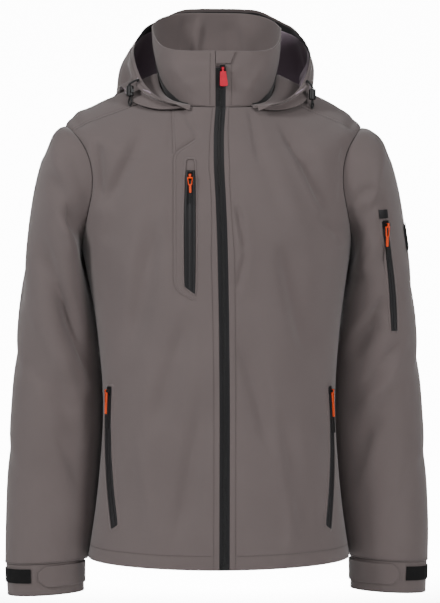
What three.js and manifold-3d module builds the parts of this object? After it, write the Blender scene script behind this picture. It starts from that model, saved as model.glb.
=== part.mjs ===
// A man's hooded softshell jacket, hollow and filled out as it is when worn, in millimetres.
// +Z is up, the front faces -Y and the wearer's left is +X.
// The origin lies on the neck's axis, level with the middle of the shoulder slopes.
// Angles round the body are measured from the front, positive towards the wearer's left.

import * as THREE from "three";
import Module from "manifold-3d";
import { mergeVertices } from "three/addons/utils/BufferGeometryUtils.js";

const wasm = await Module();
wasm.setup();

const DEG = Math.PI / 180;

// Driving sizes
const SHELL = 2.0; // the bonded outer cloth with its fleece back
const HOOD_SHELL = 1.4;
const HOOD_LINING = 0.8;
const TRIM = 0.9; // zip tape, hook patches and the badge
const STRAP = 1.6;
const SEAM = 0.3; // between two pieces that are sewn together
const LIFT = 0.5; // between a panel and what lies on it
const ZIP_HALF = 7.0; // half of the front zip's width that shows

// A short table: the names of its columns, then a row for each section.
function table(columns, rows) {
  const names = columns.split(" ");
  return rows.map((row) => Object.fromEntries(names.map((name, i) => [name, row[i]])));
}

// The body from hem to neckline, one row for each level. Heights are at the front, side and back;
// half is the half width, which lies at y = mid, and front and back are depths from there. square is
// the ring's exponent, flat bends the height's change towards front or back, lean shifts the ring.
const RINGS = "name zFront zSide zBack half mid front back square flat lean";
const BODY = table(RINGS, [
  ["hem", -664, -650, -666, 188.5, -12, 134, 140, 2.15, 1, 2],
  ["skirt", -560, -560, -562, 174.5, -18, 131, 139, 2.1, 1, 2],
  ["waist", -440, -440, -440, 167, -20, 131, 133, 2.1, 1, 2],
  ["rib", -325, -325, -325, 175.5, -16, 137, 133, 2.15, 1, 1],
  ["armpit", -220, -215, -215, 194, -4, 148, 130, 2.25, 1, -1],
  ["armhole", -158, -122, -140, 206, 0, 149, 131, 2.3, 1.1, -3],
  ["shoulder_edge", -112, -35, -84, 214, 0, 143, 131, 2.3, 1.2, -5],
  ["shoulder_outer", -82, -10, -42, 182, 0, 133, 123, 2.25, 1.3, -5],
  ["shoulder_inner", -54, 9, -1, 145, 0, 120, 108, 2.2, 1.4, -4],
  ["neckline", -20, 35, 55, 82, 0, 107, 68, 2.2, 1.4, -1],
]);
const levelNamed = (name) => BODY.findIndex((row) => row.name === name);
const ARMPIT = levelNamed("armpit");
const SHOULDER = levelNamed("shoulder_edge");
const NECK = levelNamed("neckline");

// The collar stands just inside the neckline.
const COLLAR = table(RINGS, [
  ["seam", -19.6, 35.4, 55.4, 81.2, 0, 106.3, 67.3, 2.2, 1.4, -1],
  ["middle", 22, 70, 96, 91, 0, 107, 73, 2.2, 1.6, -1],
  ["rim", 60, 106, 136, 94, 0, 101, 70, 2.2, 1.9, -1],
]);
const COLLAR_TOP = COLLAR.length - 1;

// A sleeve from the armhole to its hem, and its cuff, one row for each section: its outer and inner
// edge across the body, the centre's place front to back, the half depth, how far its top is turned
// to the front, and how far the row leans with the body.
const SECTIONS = "outX outZ inX inZ y depth skew lean";
const SLEEVE = table(SECTIONS, [
  [216, -35, 197, -215, 0, 70, 46, -4],
  [235, -49, 196, -233, 1, 80, 30, -2],
  [249, -78, 191, -252, 3, 84, 15, -1],
  [264, -128, 186, -278, 6, 83, 5, 0],
  [276, -196, 180, -308, 12, 79, 0, 1],
  [286, -265, 173.5, -346, 17, 75, 0, 2],
  [293, -350, 167.5, -398, 20, 72, 0, 2],
  [300, -440, 165.5, -458, 20, 69, 0, 2],
  [305, -530, 171, -534, 15, 64, 0, 2],
  [307.5, -610, 181, -606, 8, 58, 0, 2],
  [307, -668, 192, -661, 2, 52, 0, 1],
]);
const SLEEVE_END = SLEEVE.length - 1;
const CUFF = table(SECTIONS, [
  [305.5, -668.5, 193.5, -661.5, 2, 50.5, 0, 1],
  [304.5, -691, 193.5, -685, 0, 46, 0, 1],
  [303, -714, 193, -708, -2, 41, 0, 1],
]);
const CUFF_END = CUFF.length - 1;

// The hood, thrown back, one row for each angle from the front: where its neck edge starts and how
// far down the body's rows its bag reaches, the bag's depth and bulge, and where its rim lies.
const HOOD = table("angle start reach bag bulge rim rimZ", [
  [25, 0.12, 8.78, 5, 0, 114, -25],
  [40, 0.1, 8.5, 8, 2, 126, -12],
  [54, 0.09, 8.3, 11, 5, 124, 3],
  [65, 0.09, 8.2, 13, 8, 125, 20],
  [77, 0.08, 8.2, 13, 7, 126, 42],
  [90, 0.07, 8.15, 13, 5, 129, 66],
  [105, 0.05, 8.0, 17, 7, 132, 84],
  [120, 0.03, 7.0, 31, 12, 138, 104],
  [132, 0.02, 6.3, 45, 18, 143, 122],
  [150, 0.01, 5.5, 53, 24, 123, 144],
  [165, 0.01, 5.15, 57, 28, 106, 147],
  [180, 0.01, 5.05, 58, 30, 98, 147],
]);
const HOOD_FIRST = HOOD[0].angle;

// Folds: a soft ridge or trough along a line, seen from one side. h is x on the front and back and y
// on the two sides; a negative depth is a trough.
const FOLD = "from h0 z0 h1 z1 width depth";
const BODY_FOLDS = table(FOLD, [
  ["front", -92, -75, -160, -235, 17, -3.5],
  ["front", 72, -40, 150, -225, 15, -4],
  ["front", 45, -60, 82, -170, 14, -2.5],
  ["front", 24, -160, 34, -285, 13, 3],
  ["front", -165, -235, -120, -420, 22, -4],
  ["front", 165, -235, 130, -400, 22, -4],
  ["front", -50, -330, -120, -560, 24, 4],
  ["front", 40, -320, 110, -600, 24, 4],
  ["front", -95, -330, -30, -610, 26, -3],
  ["back", -60, -170, -150, -330, 24, -5],
  ["back", 60, -170, 150, -330, 24, -5],
  ["back", -110, -330, 60, -430, 26, -4],
  ["back", 110, -370, -40, -470, 26, 4],
  ["back", -60, -450, -90, -620, 28, 4],
  ["back", 70, -480, 80, -640, 28, 4],
]);
const RIGHT_SLEEVE_FOLDS = table(FOLD, [
  ["front", -238, -115, -196, -185, 12, -7],
  ["front", -226, -95, -190, -150, 10, 4],
  ["front", -256, -200, -205, -350, 13, -8],
  ["front", -262, -270, -200, -420, 14, 5],
  ["front", -232, -400, -200, -500, 14, -4],
  ["left", 40, -180, -10, -300, 18, -5],
  ["back", -260, -150, -200, -260, 15, -6],
  ["back", -270, -300, -200, -390, 15, -6],
  ["back", -280, -420, -210, -480, 16, 5],
]);
const LEFT_SLEEVE_FOLDS = table(FOLD, [
  ["front", 232, -150, 192, -170, 9, -5],
  ["front", 226, -205, 194, -256, 12, 5],
  ["front", 232, -322, 186, -368, 13, -6],
  ["front", 268, -380, 200, -450, 15, 5],
  ["front", 246, -420, 204, -500, 14, -4],
  ["right", 40, -180, -10, -300, 18, -4],
  ["back", 260, -150, 200, -260, 15, -6],
  ["back", 270, -300, 200, -390, 15, -6],
  ["back", 280, -420, 210, -480, 16, 5],
]);
const VIEWS = {
  front: { axis: "x", sight: new THREE.Vector3(0, -1, 0) },
  back: { axis: "x", sight: new THREE.Vector3(0, 1, 0) },
  right: { axis: "y", sight: new THREE.Vector3(1, 0, 0) },
  left: { axis: "y", sight: new THREE.Vector3(-1, 0, 0) },
};

const material = (color, roughness, metalness = 0) =>
  new THREE.MeshStandardMaterial({ color, roughness, metalness });
const CLOTH = material(0x6e6462, 0.85);
const LINING = material(0x2a2730, 0.8);
const BLACK = material(0x1c1b1c, 0.6);
const ORANGE = material(0xe8602c, 0.5);
const RED = material(0xc41f3a, 0.5);
const METAL = material(0x2c2c2e, 0.4, 0.6);

const clamp = THREE.MathUtils.clamp;
const lerp = THREE.MathUtils.lerp;
const smooth = (x, low, high) => THREE.MathUtils.smoothstep(x, low, high);

// One value on a smooth line through four neighbours, at share s from the second to the third.
function between(p0, p1, p2, p3, s) {
  const m1 = (p2 - p0) / 2;
  const m2 = (p3 - p1) / 2;
  const s2 = s * s;
  const s3 = s2 * s;
  return (2 * s3 - 3 * s2 + 1) * p1 + (s3 - 2 * s2 + s) * m1 + (3 * s2 - 2 * s3) * p2 + (s3 - s2) * m2;
}

// A row of a table at a place between its rows.
function rowAt(rows, place) {
  const last = rows.length - 1;
  const at = clamp(place, 0, last);
  const i = Math.min(Math.floor(at), last - 1);
  const pick = (k) => rows[clamp(k, 0, last)];
  const row = {};
  for (const key of Object.keys(rows[0])) {
    if (typeof rows[0][key] !== "number") continue;
    row[key] = between(pick(i - 1)[key], pick(i)[key], pick(i + 1)[key], pick(i + 2)[key], at - i);
  }
  return row;
}

// A point on a smooth line through a few points, at a share of the way along it.
function along(points, share) {
  const place = clamp(share, 0, 1) * (points.length - 1);
  const row = rowAt(points.map((p) => ({ x: p.x, y: p.y, z: p.z })), place);
  return new THREE.Vector3(row.x, row.y, row.z);
}

// A ring's radius at an angle, and its point.
function ringRadius(row, phi) {
  const depth = Math.cos(phi) > 0 ? row.front : row.back;
  const across = Math.abs(Math.sin(phi) / row.half) ** row.square;
  const deep = Math.abs(Math.cos(phi) / depth) ** row.square;
  return (across + deep) ** (-1 / row.square);
}
const RIDGE = 0.15; // how softly a ring turns over the shoulder
function ringPoint(row, phi) {
  const c = Math.cos(phi);
  const end = c > 0 ? row.zFront : row.zBack;
  const away = (Math.hypot(c, RIDGE) - RIDGE) / (Math.hypot(1, RIDGE) - RIDGE);
  const z = row.zSide + (end - row.zSide) * (1 - (1 - away) ** row.flat);
  const r = ringRadius(row, phi);
  return new THREE.Vector3(row.lean + r * Math.sin(phi), row.mid - r * c, z);
}
const bodyForm = (phi, place) => ringPoint(rowAt(BODY, place), phi);
const collar = (phi, place) => ringPoint(rowAt(COLLAR, place), phi);

// The outward normal of a surface of two parameters; turn is -1 where they run the other way round.
function normalOf(surface, u, v, turn = 1) {
  const e = 1e-3;
  const du = surface(u + e, v).sub(surface(u - e, v));
  const dv = surface(u, v + e).sub(surface(u, v - e));
  return du.cross(dv).normalize().multiplyScalar(turn);
}

// How far a table of folds moves a point along its normal.
function foldDepth(folds, p, n) {
  let sum = 0;
  for (const fold of folds) {
    const view = VIEWS[fold.from];
    const facing = n.dot(view.sight);
    if (facing <= 0) continue;
    const dh = fold.h1 - fold.h0;
    const dz = fold.z1 - fold.z0;
    const long = Math.hypot(dh, dz);
    const h = p[view.axis] - fold.h0;
    const z = p.z - fold.z0;
    const share = (h * dh + z * dz) / (long * long);
    const off = (h * dz - z * dh) / long;
    const ends = smooth(share, -0.15, 0.25) * (1 - smooth(share, 0.75, 1.15));
    sum += fold.depth * ends * Math.exp(-((off / fold.width) ** 2)) * Math.sqrt(facing);
  }
  return sum;
}
function withFolds(surface, folds, turn = 1) {
  return (u, v) => {
    const n = normalOf(surface, u, v, turn);
    const p = surface(u, v);
    return p.addScaledVector(n, foldDepth(folds, p, n));
  };
}
const body = withFolds(bodyForm, BODY_FOLDS);

// The armhole in degrees round the body: its bottom, top and middle, and its reach to either side.
const ARMHOLE = { bottom: 90, top: 76, middle: 84, front: 19, back: 29 };
function armholeEdge(theta) {
  const share = (1 + Math.cos(theta)) / 2;
  const reach = Math.sin(theta) > 0 ? ARMHOLE.front : ARMHOLE.back;
  return {
    phi: (lerp(ARMHOLE.bottom, ARMHOLE.top, share) - reach * Math.sin(theta)) * DEG,
    place: lerp(ARMPIT, SHOULDER, share),
  };
}
const armholeAngle = (place) =>
  Math.acos(clamp((2 * (place - ARMPIT)) / (SHOULDER - ARMPIT) - 1, -1, 1));
const SIDE_SEAM = ARMHOLE.bottom * DEG;
const SHOULDER_SEAM = { edge: ARMHOLE.top * DEG, neck: 62 * DEG };

// Where the front ends and the back begins, on each level.
function frontEdge(place) {
  if (place <= ARMPIT) return SIDE_SEAM;
  if (place < SHOULDER) return armholeEdge(armholeAngle(place)).phi;
  return lerp(SHOULDER_SEAM.edge, SHOULDER_SEAM.neck, (place - SHOULDER) / (NECK - SHOULDER));
}
function backEdge(place) {
  if (place <= ARMPIT || place >= SHOULDER) return frontEdge(place);
  return armholeEdge(-armholeAngle(place)).phi;
}

// A sleeve's or cuff's section, theta running from its outer or top edge to the front.
function tubeForm(rows, side, theta, place) {
  const row = rowAt(rows, place);
  const centre = new THREE.Vector3((row.outX + row.inX) / 2, row.y, (row.outZ + row.inZ) / 2);
  const reach = new THREE.Vector3((row.outX - row.inX) / 2, 0, (row.outZ - row.inZ) / 2);
  const p = centre.addScaledVector(reach, Math.cos(theta));
  p.y -= row.depth * Math.sin(theta) + (row.skew * (1 + Math.cos(theta))) / 2;
  return new THREE.Vector3(side * p.x + row.lean, p.y, p.z);
}
// A sleeve's end lies just inside the armhole, which is in the body's cloth.
function armhole(side, theta) {
  const edge = armholeEdge(theta);
  const middle = body(side * ARMHOLE.middle * DEG, (ARMPIT + SHOULDER) / 2);
  const p = body(side * edge.phi, edge.place);
  return p.add(middle.sub(p).setLength(SEAM));
}
const ARMHOLE_BLEND = 1.5; // rows over which the armhole's outline turns into a plain section
function sleeveForm(side, theta, place) {
  const plain = tubeForm(SLEEVE, side, theta, place);
  const share = smooth(place, 0, ARMHOLE_BLEND);
  if (share >= 1) return plain;
  return armhole(side, theta).lerp(plain, share);
}
function sleeveSkin(side) {
  const form = (theta, place) => sleeveForm(side, theta, place);
  const folded = withFolds(form, side > 0 ? LEFT_SLEEVE_FOLDS : RIGHT_SLEEVE_FOLDS, side);
  return (theta, place) => form(theta, place).lerp(folded(theta, place), smooth(place, 0.2, 1.5));
}
const sleeves = { left: sleeveSkin(1), right: sleeveSkin(-1) };

// The hood's surface, shell side: the angle runs round the back, share from its neck edge down
// under the bag and up to the rim.
const hoodRow = (angle) => {
  const folded = angle > 180 ? 360 - angle : angle;
  let i = 0;
  while (i < HOOD.length - 2 && folded > HOOD[i + 1].angle) i++;
  return rowAt(HOOD, i + (folded - HOOD[i].angle) / (HOOD[i + 1].angle - HOOD[i].angle));
};
const HOOD_SLIP = 5; // how far it has slipped towards the wearer's left
const RIM_LEAN = 0.04;
const HOOD_EDGE = 1.1; // its neck edge above the body
const HOOD_REST = 2.8; // the bag's underside above the body
const UNDER = 0.5; // share of the profile that lies on the body
const UNDER_REACH = 0.88; // and how far along the bag's reach that is
const UPPER_REACH = 0.75; // where the bag's upper side lies
function hood(angle, share) {
  const row = hoodRow(angle);
  const phi = angle * DEG;
  const over = (part, height, slip = 0) => {
    const place = lerp(NECK, row.reach, part);
    const p = bodyForm(phi, place).addScaledVector(normalOf(bodyForm, phi, place), height);
    return p.setX(p.x + slip);
  };
  if (share < UNDER) {
    const height = lerp(HOOD_EDGE, HOOD_REST, smooth(share, 0, 0.1));
    return over(lerp(row.start, UNDER_REACH, share / UNDER), height);
  }
  const out = new THREE.Vector3(Math.sin(phi), -Math.cos(phi), 0);
  const rim = out.clone().multiplyScalar(row.rim).setZ(row.rimZ);
  rim.x += HOOD_SLIP + row.rimZ * RIM_LEAN;
  const upper = over(UPPER_REACH, row.bag, HOOD_SLIP);
  const middle = upper.clone().lerp(rim, 0.5).addScaledVector(out, row.bulge);
  const points = [
    over(UNDER_REACH - 0.12, HOOD_REST),
    over(UNDER_REACH, HOOD_REST),
    over(1, (row.bag + HOOD_REST) / 2, HOOD_SLIP / 2),
    upper,
    middle,
    rim,
  ];
  return along(points, (1 + (4 * (share - UNDER)) / (1 - UNDER)) / 5);
}

// A closed wall: outer points from surface(u, v) on a grid, inner points set in along the normals.
// us and vs are the grid's parameters, round joins the last column to the first, turn is -1 where
// the surface faces the other way, and outward gives the normal where the grid's own won't do.
function wall(surface, us, vs, thick, { round = false, turn = 1, outward = null, lift = 0 } = {}) {
  const columns = us.length;
  const rows = vs.length;
  const outer = [];
  for (const v of vs) for (const u of us) outer.push(surface(u, v));
  const column = (i) => (round ? (i + columns) % columns : clamp(i, 0, columns - 1));
  const at = (i, j) => outer[clamp(j, 0, rows - 1) * columns + column(i)];
  const skin = [];
  const back = [];
  for (let j = 0; j < rows; j++) {
    for (let i = 0; i < columns; i++) {
      const du = at(i + 1, j).clone().sub(at(i - 1, j));
      const dv = at(i, j + 1).clone().sub(at(i, j - 1));
      const own = du.cross(dv).normalize().multiplyScalar(turn);
      const n = outward ? outward(us[i], vs[j], own) : own;
      const p = at(i, j).clone().addScaledVector(n, lift);
      skin.push(...p);
      back.push(...p.addScaledVector(n, -thick));
    }
  }
  const index = [];
  const quad = (a, b, c, d) => (turn > 0 ? index.push(a, b, c, a, c, d) : index.push(a, c, b, a, d, c));
  const id = (i, j) => j * columns + (i % columns);
  const under = (i, j) => id(i, j) + columns * rows;
  const across = round ? columns : columns - 1;
  const top = rows - 1;
  for (let i = 0; i < across; i++) {
    for (let j = 0; j < top; j++) {
      quad(id(i, j), id(i + 1, j), id(i + 1, j + 1), id(i, j + 1));
      quad(under(i, j), under(i, j + 1), under(i + 1, j + 1), under(i + 1, j));
    }
    quad(id(i + 1, 0), id(i, 0), under(i, 0), under(i + 1, 0));
    quad(id(i, top), id(i + 1, top), under(i + 1, top), under(i, top));
  }
  for (let j = 0; j < top && !round; j++) {
    const end = columns - 1;
    quad(id(0, j), id(0, j + 1), under(0, j + 1), under(0, j));
    quad(id(end, j + 1), id(end, j), under(end, j), under(end, j + 1));
  }
  const geometry = new THREE.BufferGeometry();
  geometry.setAttribute("position", new THREE.Float32BufferAttribute([...skin, ...back], 3));
  geometry.setIndex(index);
  geometry.computeVertexNormals();
  return geometry;
}

const steps = (from, to, count) =>
  Array.from({ length: count + 1 }, (_, i) => lerp(from, to, i / count));
const eased = (from, to, count) =>
  steps(0, Math.PI, count).map((turn) => lerp(from, to, (1 - Math.cos(turn)) / 2));

const jacket = new THREE.Group();
function add(name, geometry, look) {
  const mesh = new THREE.Mesh(geometry, look);
  mesh.name = name;
  jacket.add(mesh);
}
const SIDES = [
  { name: "right", side: -1 },
  { name: "left", side: 1 },
];

// Levels of the panels. Those beside the armhole match the sleeve's first ring.
const ROUND = 24; // columns round a sleeve
const BELOW = steps(0, ARMPIT, 9);
const BESIDE = eased(ARMPIT, SHOULDER, ROUND / 2).slice(1);
const ABOVE = steps(SHOULDER, NECK, 4).slice(1);
const LEVELS = [...BELOW, ...BESIDE, ...ABOVE];
const gapAngle = (place, gap) => gap / ringRadius(rowAt(BODY, place), 0);
const frontAngle = (share, place) =>
  lerp(gapAngle(place, ZIP_HALF + SEAM), frontEdge(place) - gapAngle(place, SEAM / 2), share);
const backAngle = (share, place) => {
  const edge = backEdge(place) + gapAngle(place, SEAM / 2);
  return lerp(edge, 2 * Math.PI - edge, share);
};
const FRONT_SHARES = steps(0, 1, 8);
const BACK_SHARES = steps(0, 1, 18);

for (const { name, side } of SIDES) {
  const surface = (share, place) => body(side * frontAngle(share, place), place);
  const outward = (share, place) => normalOf(body, side * frontAngle(share, place), place);
  add("front_" + name, wall(surface, FRONT_SHARES, LEVELS, SHELL, { turn: side, outward }), CLOTH);
}
add(
  "back",
  wall((share, place) => body(backAngle(share, place), place), BACK_SHARES, LEVELS, SHELL, {
    outward: (share, place) => normalOf(body, backAngle(share, place), place),
  }),
  CLOTH,
);

// A sleeve's end faces the edge of the armhole squarely, then takes its own direction.
const RING = steps(0, 2 * Math.PI, ROUND).slice(0, -1);
for (const { name, side } of SIDES) {
  const outward = (theta, place, own) => {
    const edge = armholeEdge(theta);
    return normalOf(body, side * edge.phi, edge.place).lerp(own, smooth(place, 0, 0.8)).normalize();
  };
  const places = [0, 0.3, 0.65, 1.05, ...steps(1.6, SLEEVE_END, 12)];
  const tube = wall(sleeves[name], RING, places, SHELL, { round: true, turn: side, outward });
  add("sleeve_" + name, tube, CLOTH);
}

// The cuffs, their straps and the hook patches that the straps close on.
for (const { name, side } of SIDES) {
  const skin = (theta, place) => tubeForm(CUFF, side, theta, place);
  const cuff = wall(skin, RING, steps(0, CUFF_END, 3), SHELL, { round: true, turn: side });
  add("cuff_" + name, cuff, CLOTH);
  const patch = wall(skin, steps(-15 * DEG, 60 * DEG, 5), [0.35, 0.75, 1.15], TRIM, {
    turn: side,
    lift: 0.15 + LIFT + TRIM,
  });
  add("hook_patch_" + name, patch, BLACK);
  const strap = wall(skin, steps(75 * DEG, 210 * DEG, 9), [0.22, 0.8, 1.4], STRAP, {
    turn: side,
    lift: 0.25 + LIFT + STRAP,
  });
  add("cuff_strap_" + name, strap, CLOTH);
}

// The collar is one standing wall round the neck, open at the zip. Its columns match the panels'.
const frontAngles = FRONT_SHARES.map((share) => frontAngle(share, NECK));
const backAngles = BACK_SHARES.map((share) => backAngle(share, NECK));
const COLLAR_ANGLES = [
  ...frontAngles,
  ...backAngles.slice(1, -1),
  ...frontAngles.map((angle) => 2 * Math.PI - angle).reverse(),
];
add(
  "collar",
  wall(collar, COLLAR_ANGLES, [0, ...steps(0.4, COLLAR_TOP, 3)], SHELL, {
    outward: (phi, place, own) => (place < 0.1 ? normalOf(body, phi, NECK) : own),
  }),
  CLOTH,
);
// The tape that joins the hood to the outside of the collar.
const HOOD_ZIP_FIRST = 26 * DEG;
const besideZip = (phi) => Math.abs(phi - Math.PI) < Math.PI - HOOD_ZIP_FIRST;
const hoodZipRows = [0.26, 0.4, 0.54];
const hoodZip = wall(collar, COLLAR_ANGLES.filter(besideZip), hoodZipRows, TRIM, {
  lift: 0.2 + LIFT + TRIM,
});
add("hood_zip", hoodZip, BLACK);

// The front zip's tapes, from the hem up into the collar.
const ZIP_TOP = 1.32; // row of COLLAR
function frontLine(x, s) {
  const rows = s <= NECK ? BODY : COLLAR;
  const place = s <= NECK ? s : s - NECK;
  const phi = Math.asin(x / ringRadius(rowAt(rows, place), 0));
  return s <= NECK ? body(phi, place) : collar(phi, place);
}
const zipLevels = [
  ...BELOW,
  ...BESIDE.filter((_, i) => i % 2),
  ...ABOVE.slice(0, -1),
  NECK - 0.02,
  ...steps(NECK + 0.3, NECK + ZIP_TOP, 3),
];
const TEETH_HALF = 2.5;
const zipColumns = [-ZIP_HALF, -TEETH_HALF, TEETH_HALF, ZIP_HALF];
add("front_zip", wall(frontLine, zipColumns, zipLevels, 1.4, { lift: -0.4 }), BLACK);
// The guard that the zip closes into, above its top end.
const GUARD_TOP = NECK + 1.95;
const GUARD_LOW = NECK + ZIP_TOP + 0.12;
const guardEdge = (s) => lerp(14, 21.5, (s - GUARD_LOW) / (GUARD_TOP - GUARD_LOW));
const guard = (share, s) => frontLine(lerp(-ZIP_HALF + 0.5, guardEdge(s), share), s);
const guardRows = steps(GUARD_LOW, GUARD_TOP, 3);
add("chin_guard", wall(guard, steps(0, 1, 4), guardRows, 1.5, { lift: LIFT + 1.7 }), CLOTH);

// The hood and the lining that shows inside it, on one grid.
const HOOD_ANGLES = steps(HOOD_FIRST, 360 - HOOD_FIRST, 30);
const HOOD_SHARES = [...steps(0, UNDER, 5), 0.57, 0.61, 0.64, 0.68, 0.75, 0.83, 0.91, 1];
const outOfHood = (angle, share) => normalOf(hood, angle, share);
add("hood", wall(hood, HOOD_ANGLES, HOOD_SHARES, HOOD_SHELL, { outward: outOfHood }), CLOTH);
// The lining is cut in two: the part that shows all round, and the part down in the bag's back.
const fromFront = (angle) => Math.min(angle, 360 - angle);
const lining = (leastAngle, low, high) =>
  wall(
    hood,
    HOOD_ANGLES.filter((angle) => fromFront(angle) > leastAngle),
    HOOD_SHARES.filter((share) => share > low && share < high),
    HOOD_LINING,
    { outward: outOfHood, lift: -HOOD_SHELL - 0.4 },
  );
add("hood_lining_outer", lining(55, 0.67, 0.95), LINING);
add("hood_lining_inner", lining(112, 0.05, 0.65), LINING);

// Finds where a surface passes a given x and z, starting from a guess, with its normal there.
function facing(surface, guess) {
  const E = 1e-3;
  return (x, z) => {
    let [u, v] = guess(x, z);
    for (let i = 0; i < 30; i++) {
      const p = surface(u, v);
      const pu = surface(u + E, v).sub(p).divideScalar(E);
      const pv = surface(u, v + E).sub(p).divideScalar(E);
      const det = pu.x * pv.z - pv.x * pu.z;
      u += clamp(((x - p.x) * pv.z - (z - p.z) * pv.x) / det, -0.15, 0.15);
      v += clamp(((z - p.z) * pu.x - (x - p.x) * pu.z) / det, -0.5, 0.5);
    }
    return { point: surface(u, v), normal: normalOf(surface, u, v) };
  };
}
function levelAt(rows, z) {
  let i = 0;
  while (i < rows.length - 2 && z > rows[i + 1].zFront) i++;
  return i + (z - rows[i].zFront) / (rows[i + 1].zFront - rows[i].zFront);
}
const onFront = facing(body, (x, z) => [Math.asin(clamp(x / 175, -0.97, 0.97)), levelAt(BODY, z)]);
const onCollar = facing(collar, (x, z) => [x / 105, levelAt(COLLAR, z)]);
const onLeftSleeve = facing(sleeves.left, () => [60 * DEG, 4]);

// A strip laid on a panel along rows from its low end to its high end, half being its half width.
function strip(skin, rows, count, thick, lift) {
  const at = (share) => rowAt(rows, share * (rows.length - 1));
  const surface = (a, share) => {
    const here = at(share);
    const ahead = at(Math.min(share + 0.01, 1));
    const behind = at(Math.max(share - 0.01, 0));
    const tangent = new THREE.Vector2(ahead.x - behind.x, ahead.z - behind.z).normalize();
    return skin(here.x + a * here.half * tangent.y, here.z - a * here.half * tangent.x).point;
  };
  return wall(surface, [-1, 0, 1], steps(0, 1, count), thick, { lift: lift + thick });
}

const toSolid = (geometry) => {
  const loose = geometry.index ? geometry.toNonIndexed() : geometry;
  const plain = new THREE.BufferGeometry().setAttribute("position", loose.getAttribute("position"));
  const merged = mergeVertices(plain, 1e-4);
  const vertProperties = merged.attributes.position.array;
  const triVerts = new Uint32Array(merged.index.array);
  return new wasm.Manifold(new wasm.Mesh({ numProp: 3, vertProperties, triVerts }));
};
const toGeometry = (solid) => {
  const mesh = solid.getMesh();
  const geometry = new THREE.BufferGeometry();
  geometry.setAttribute("position", new THREE.Float32BufferAttribute(mesh.vertProperties, 3));
  geometry.setIndex([...mesh.triVerts]);
  geometry.computeVertexNormals();
  return geometry;
};
const solidBox = (x, y, z, cx, cy, cz) => toSolid(new THREE.BoxGeometry(x, y, z).translate(cx, cy, cz));
const ROD_SIDES = 14;
function rodAcross(radius, long, z) {
  const round = new THREE.CylinderGeometry(radius, radius, long, ROD_SIDES);
  return toSolid(round.rotateZ(Math.PI / 2).translate(0, 0, z));
}
// A plate with rounded corners between two places along y, its middle at height z.
const BEVEL = 0.4;
function plate(halfTop, halfEnd, top, end, thick, z) {
  const shape = new THREE.Shape();
  const r = Math.min(halfEnd, 3) * 0.9;
  shape.moveTo(-halfTop, top);
  shape.lineTo(-halfEnd, end + r);
  shape.quadraticCurveTo(-halfEnd, end, -halfEnd + r, end);
  shape.lineTo(halfEnd - r, end);
  shape.quadraticCurveTo(halfEnd, end, halfEnd, end + r);
  shape.lineTo(halfTop, top);
  shape.closePath();
  const geometry = new THREE.ExtrudeGeometry(shape, {
    depth: thick - 2 * BEVEL,
    bevelThickness: BEVEL,
    bevelSize: BEVEL,
    bevelOffset: -BEVEL,
    bevelSegments: 1,
    curveSegments: 3,
  });
  return toSolid(geometry.translate(0, 0, z - thick / 2 + BEVEL));
}

// A zip's slider and its pull, in their own frame: x runs across the zip, y up along it, z out of the
// cloth. The pull swings about the slider's pin.
const PIN_UP = 6.4; // the pin above the cloth
const PIN = 0.7; // radii of the pin, the pull's bore and its eye
const BORE = 1.0;
const EYE = 2.1;
const EYE_LONG = 3.2;
const CHEEK = 1.3;
const CHEEK_TOP = PIN_UP + 1.4;
const CHEEK_AT = EYE_LONG / 2 + 0.35 + CHEEK / 2;
const SLIDER_TOP = PIN_UP - EYE - 0.5;
function slider(low) {
  const base = plate(3.6, 4, 5.5, -5.5, SLIDER_TOP - low, (SLIDER_TOP + low) / 2);
  const foot = low + 0.6;
  const cheek = (x) => solidBox(CHEEK, 3.4, CHEEK_TOP - foot, x, 0, (CHEEK_TOP + foot) / 2);
  const pin = rodAcross(PIN, 2 * CHEEK_AT, PIN_UP);
  return toGeometry(base.add(cheek(-CHEEK_AT)).add(cheek(CHEEK_AT)).add(pin));
}
const withEye = (tab) =>
  tab.add(rodAcross(EYE, EYE_LONG, PIN_UP)).subtract(rodAcross(BORE, EYE_LONG + 2, PIN_UP));
// The front zip's flat tab, left plain.
function flatPull(long, half) {
  const neck = solidBox(2.6, 4, 1.8, 0, -3, PIN_UP);
  return toGeometry(withEye(neck.add(plate(half * 0.72, half, -4, -long, 2.2, PIN_UP))));
}
// A pocket zip's moulded loop and grip, and the black tip that ends it.
const GRIP_AT = 0.36; // shares of the pull's length where the grip and the tip begin
const TIP_AT = 0.62;
function loopPull(long, half) {
  const ring = plate(half, half * 0.75, -2.5, -long * GRIP_AT, 1.8, PIN_UP);
  const hole = plate(half - 1.2, half * 0.75 - 1.1, -4.2, -long * GRIP_AT + 1.6, 4, PIN_UP);
  const neck = solidBox(2.4, 3, 1.7, 0, -2.6, PIN_UP);
  const grip = plate(1.5, 1.5, -long * GRIP_AT + 0.8, -long * TIP_AT, 2.6, PIN_UP);
  return toGeometry(withEye(ring.subtract(hole).add(neck).add(grip)));
}
const pullTip = (long) => toGeometry(plate(1.25, 1.1, -long * TIP_AT - SEAM, -long, 2.2, PIN_UP));

// Where a slider sits: at (x, z) on a panel, its pull hanging to (endX, endZ).
function seat(skin, x, z, endX, endZ, rise = 0) {
  const top = skin(x, z);
  const end = skin(endX, endZ);
  const up = top.point.clone().sub(end.point).normalize();
  const out = top.normal.clone().add(end.normal).normalize();
  out.addScaledVector(up, -out.dot(up)).normalize();
  const across = up.clone().cross(out);
  const at = top.point.clone().addScaledVector(out, rise);
  return new THREE.Matrix4().makeBasis(across, up, out).setPosition(at);
}

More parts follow.
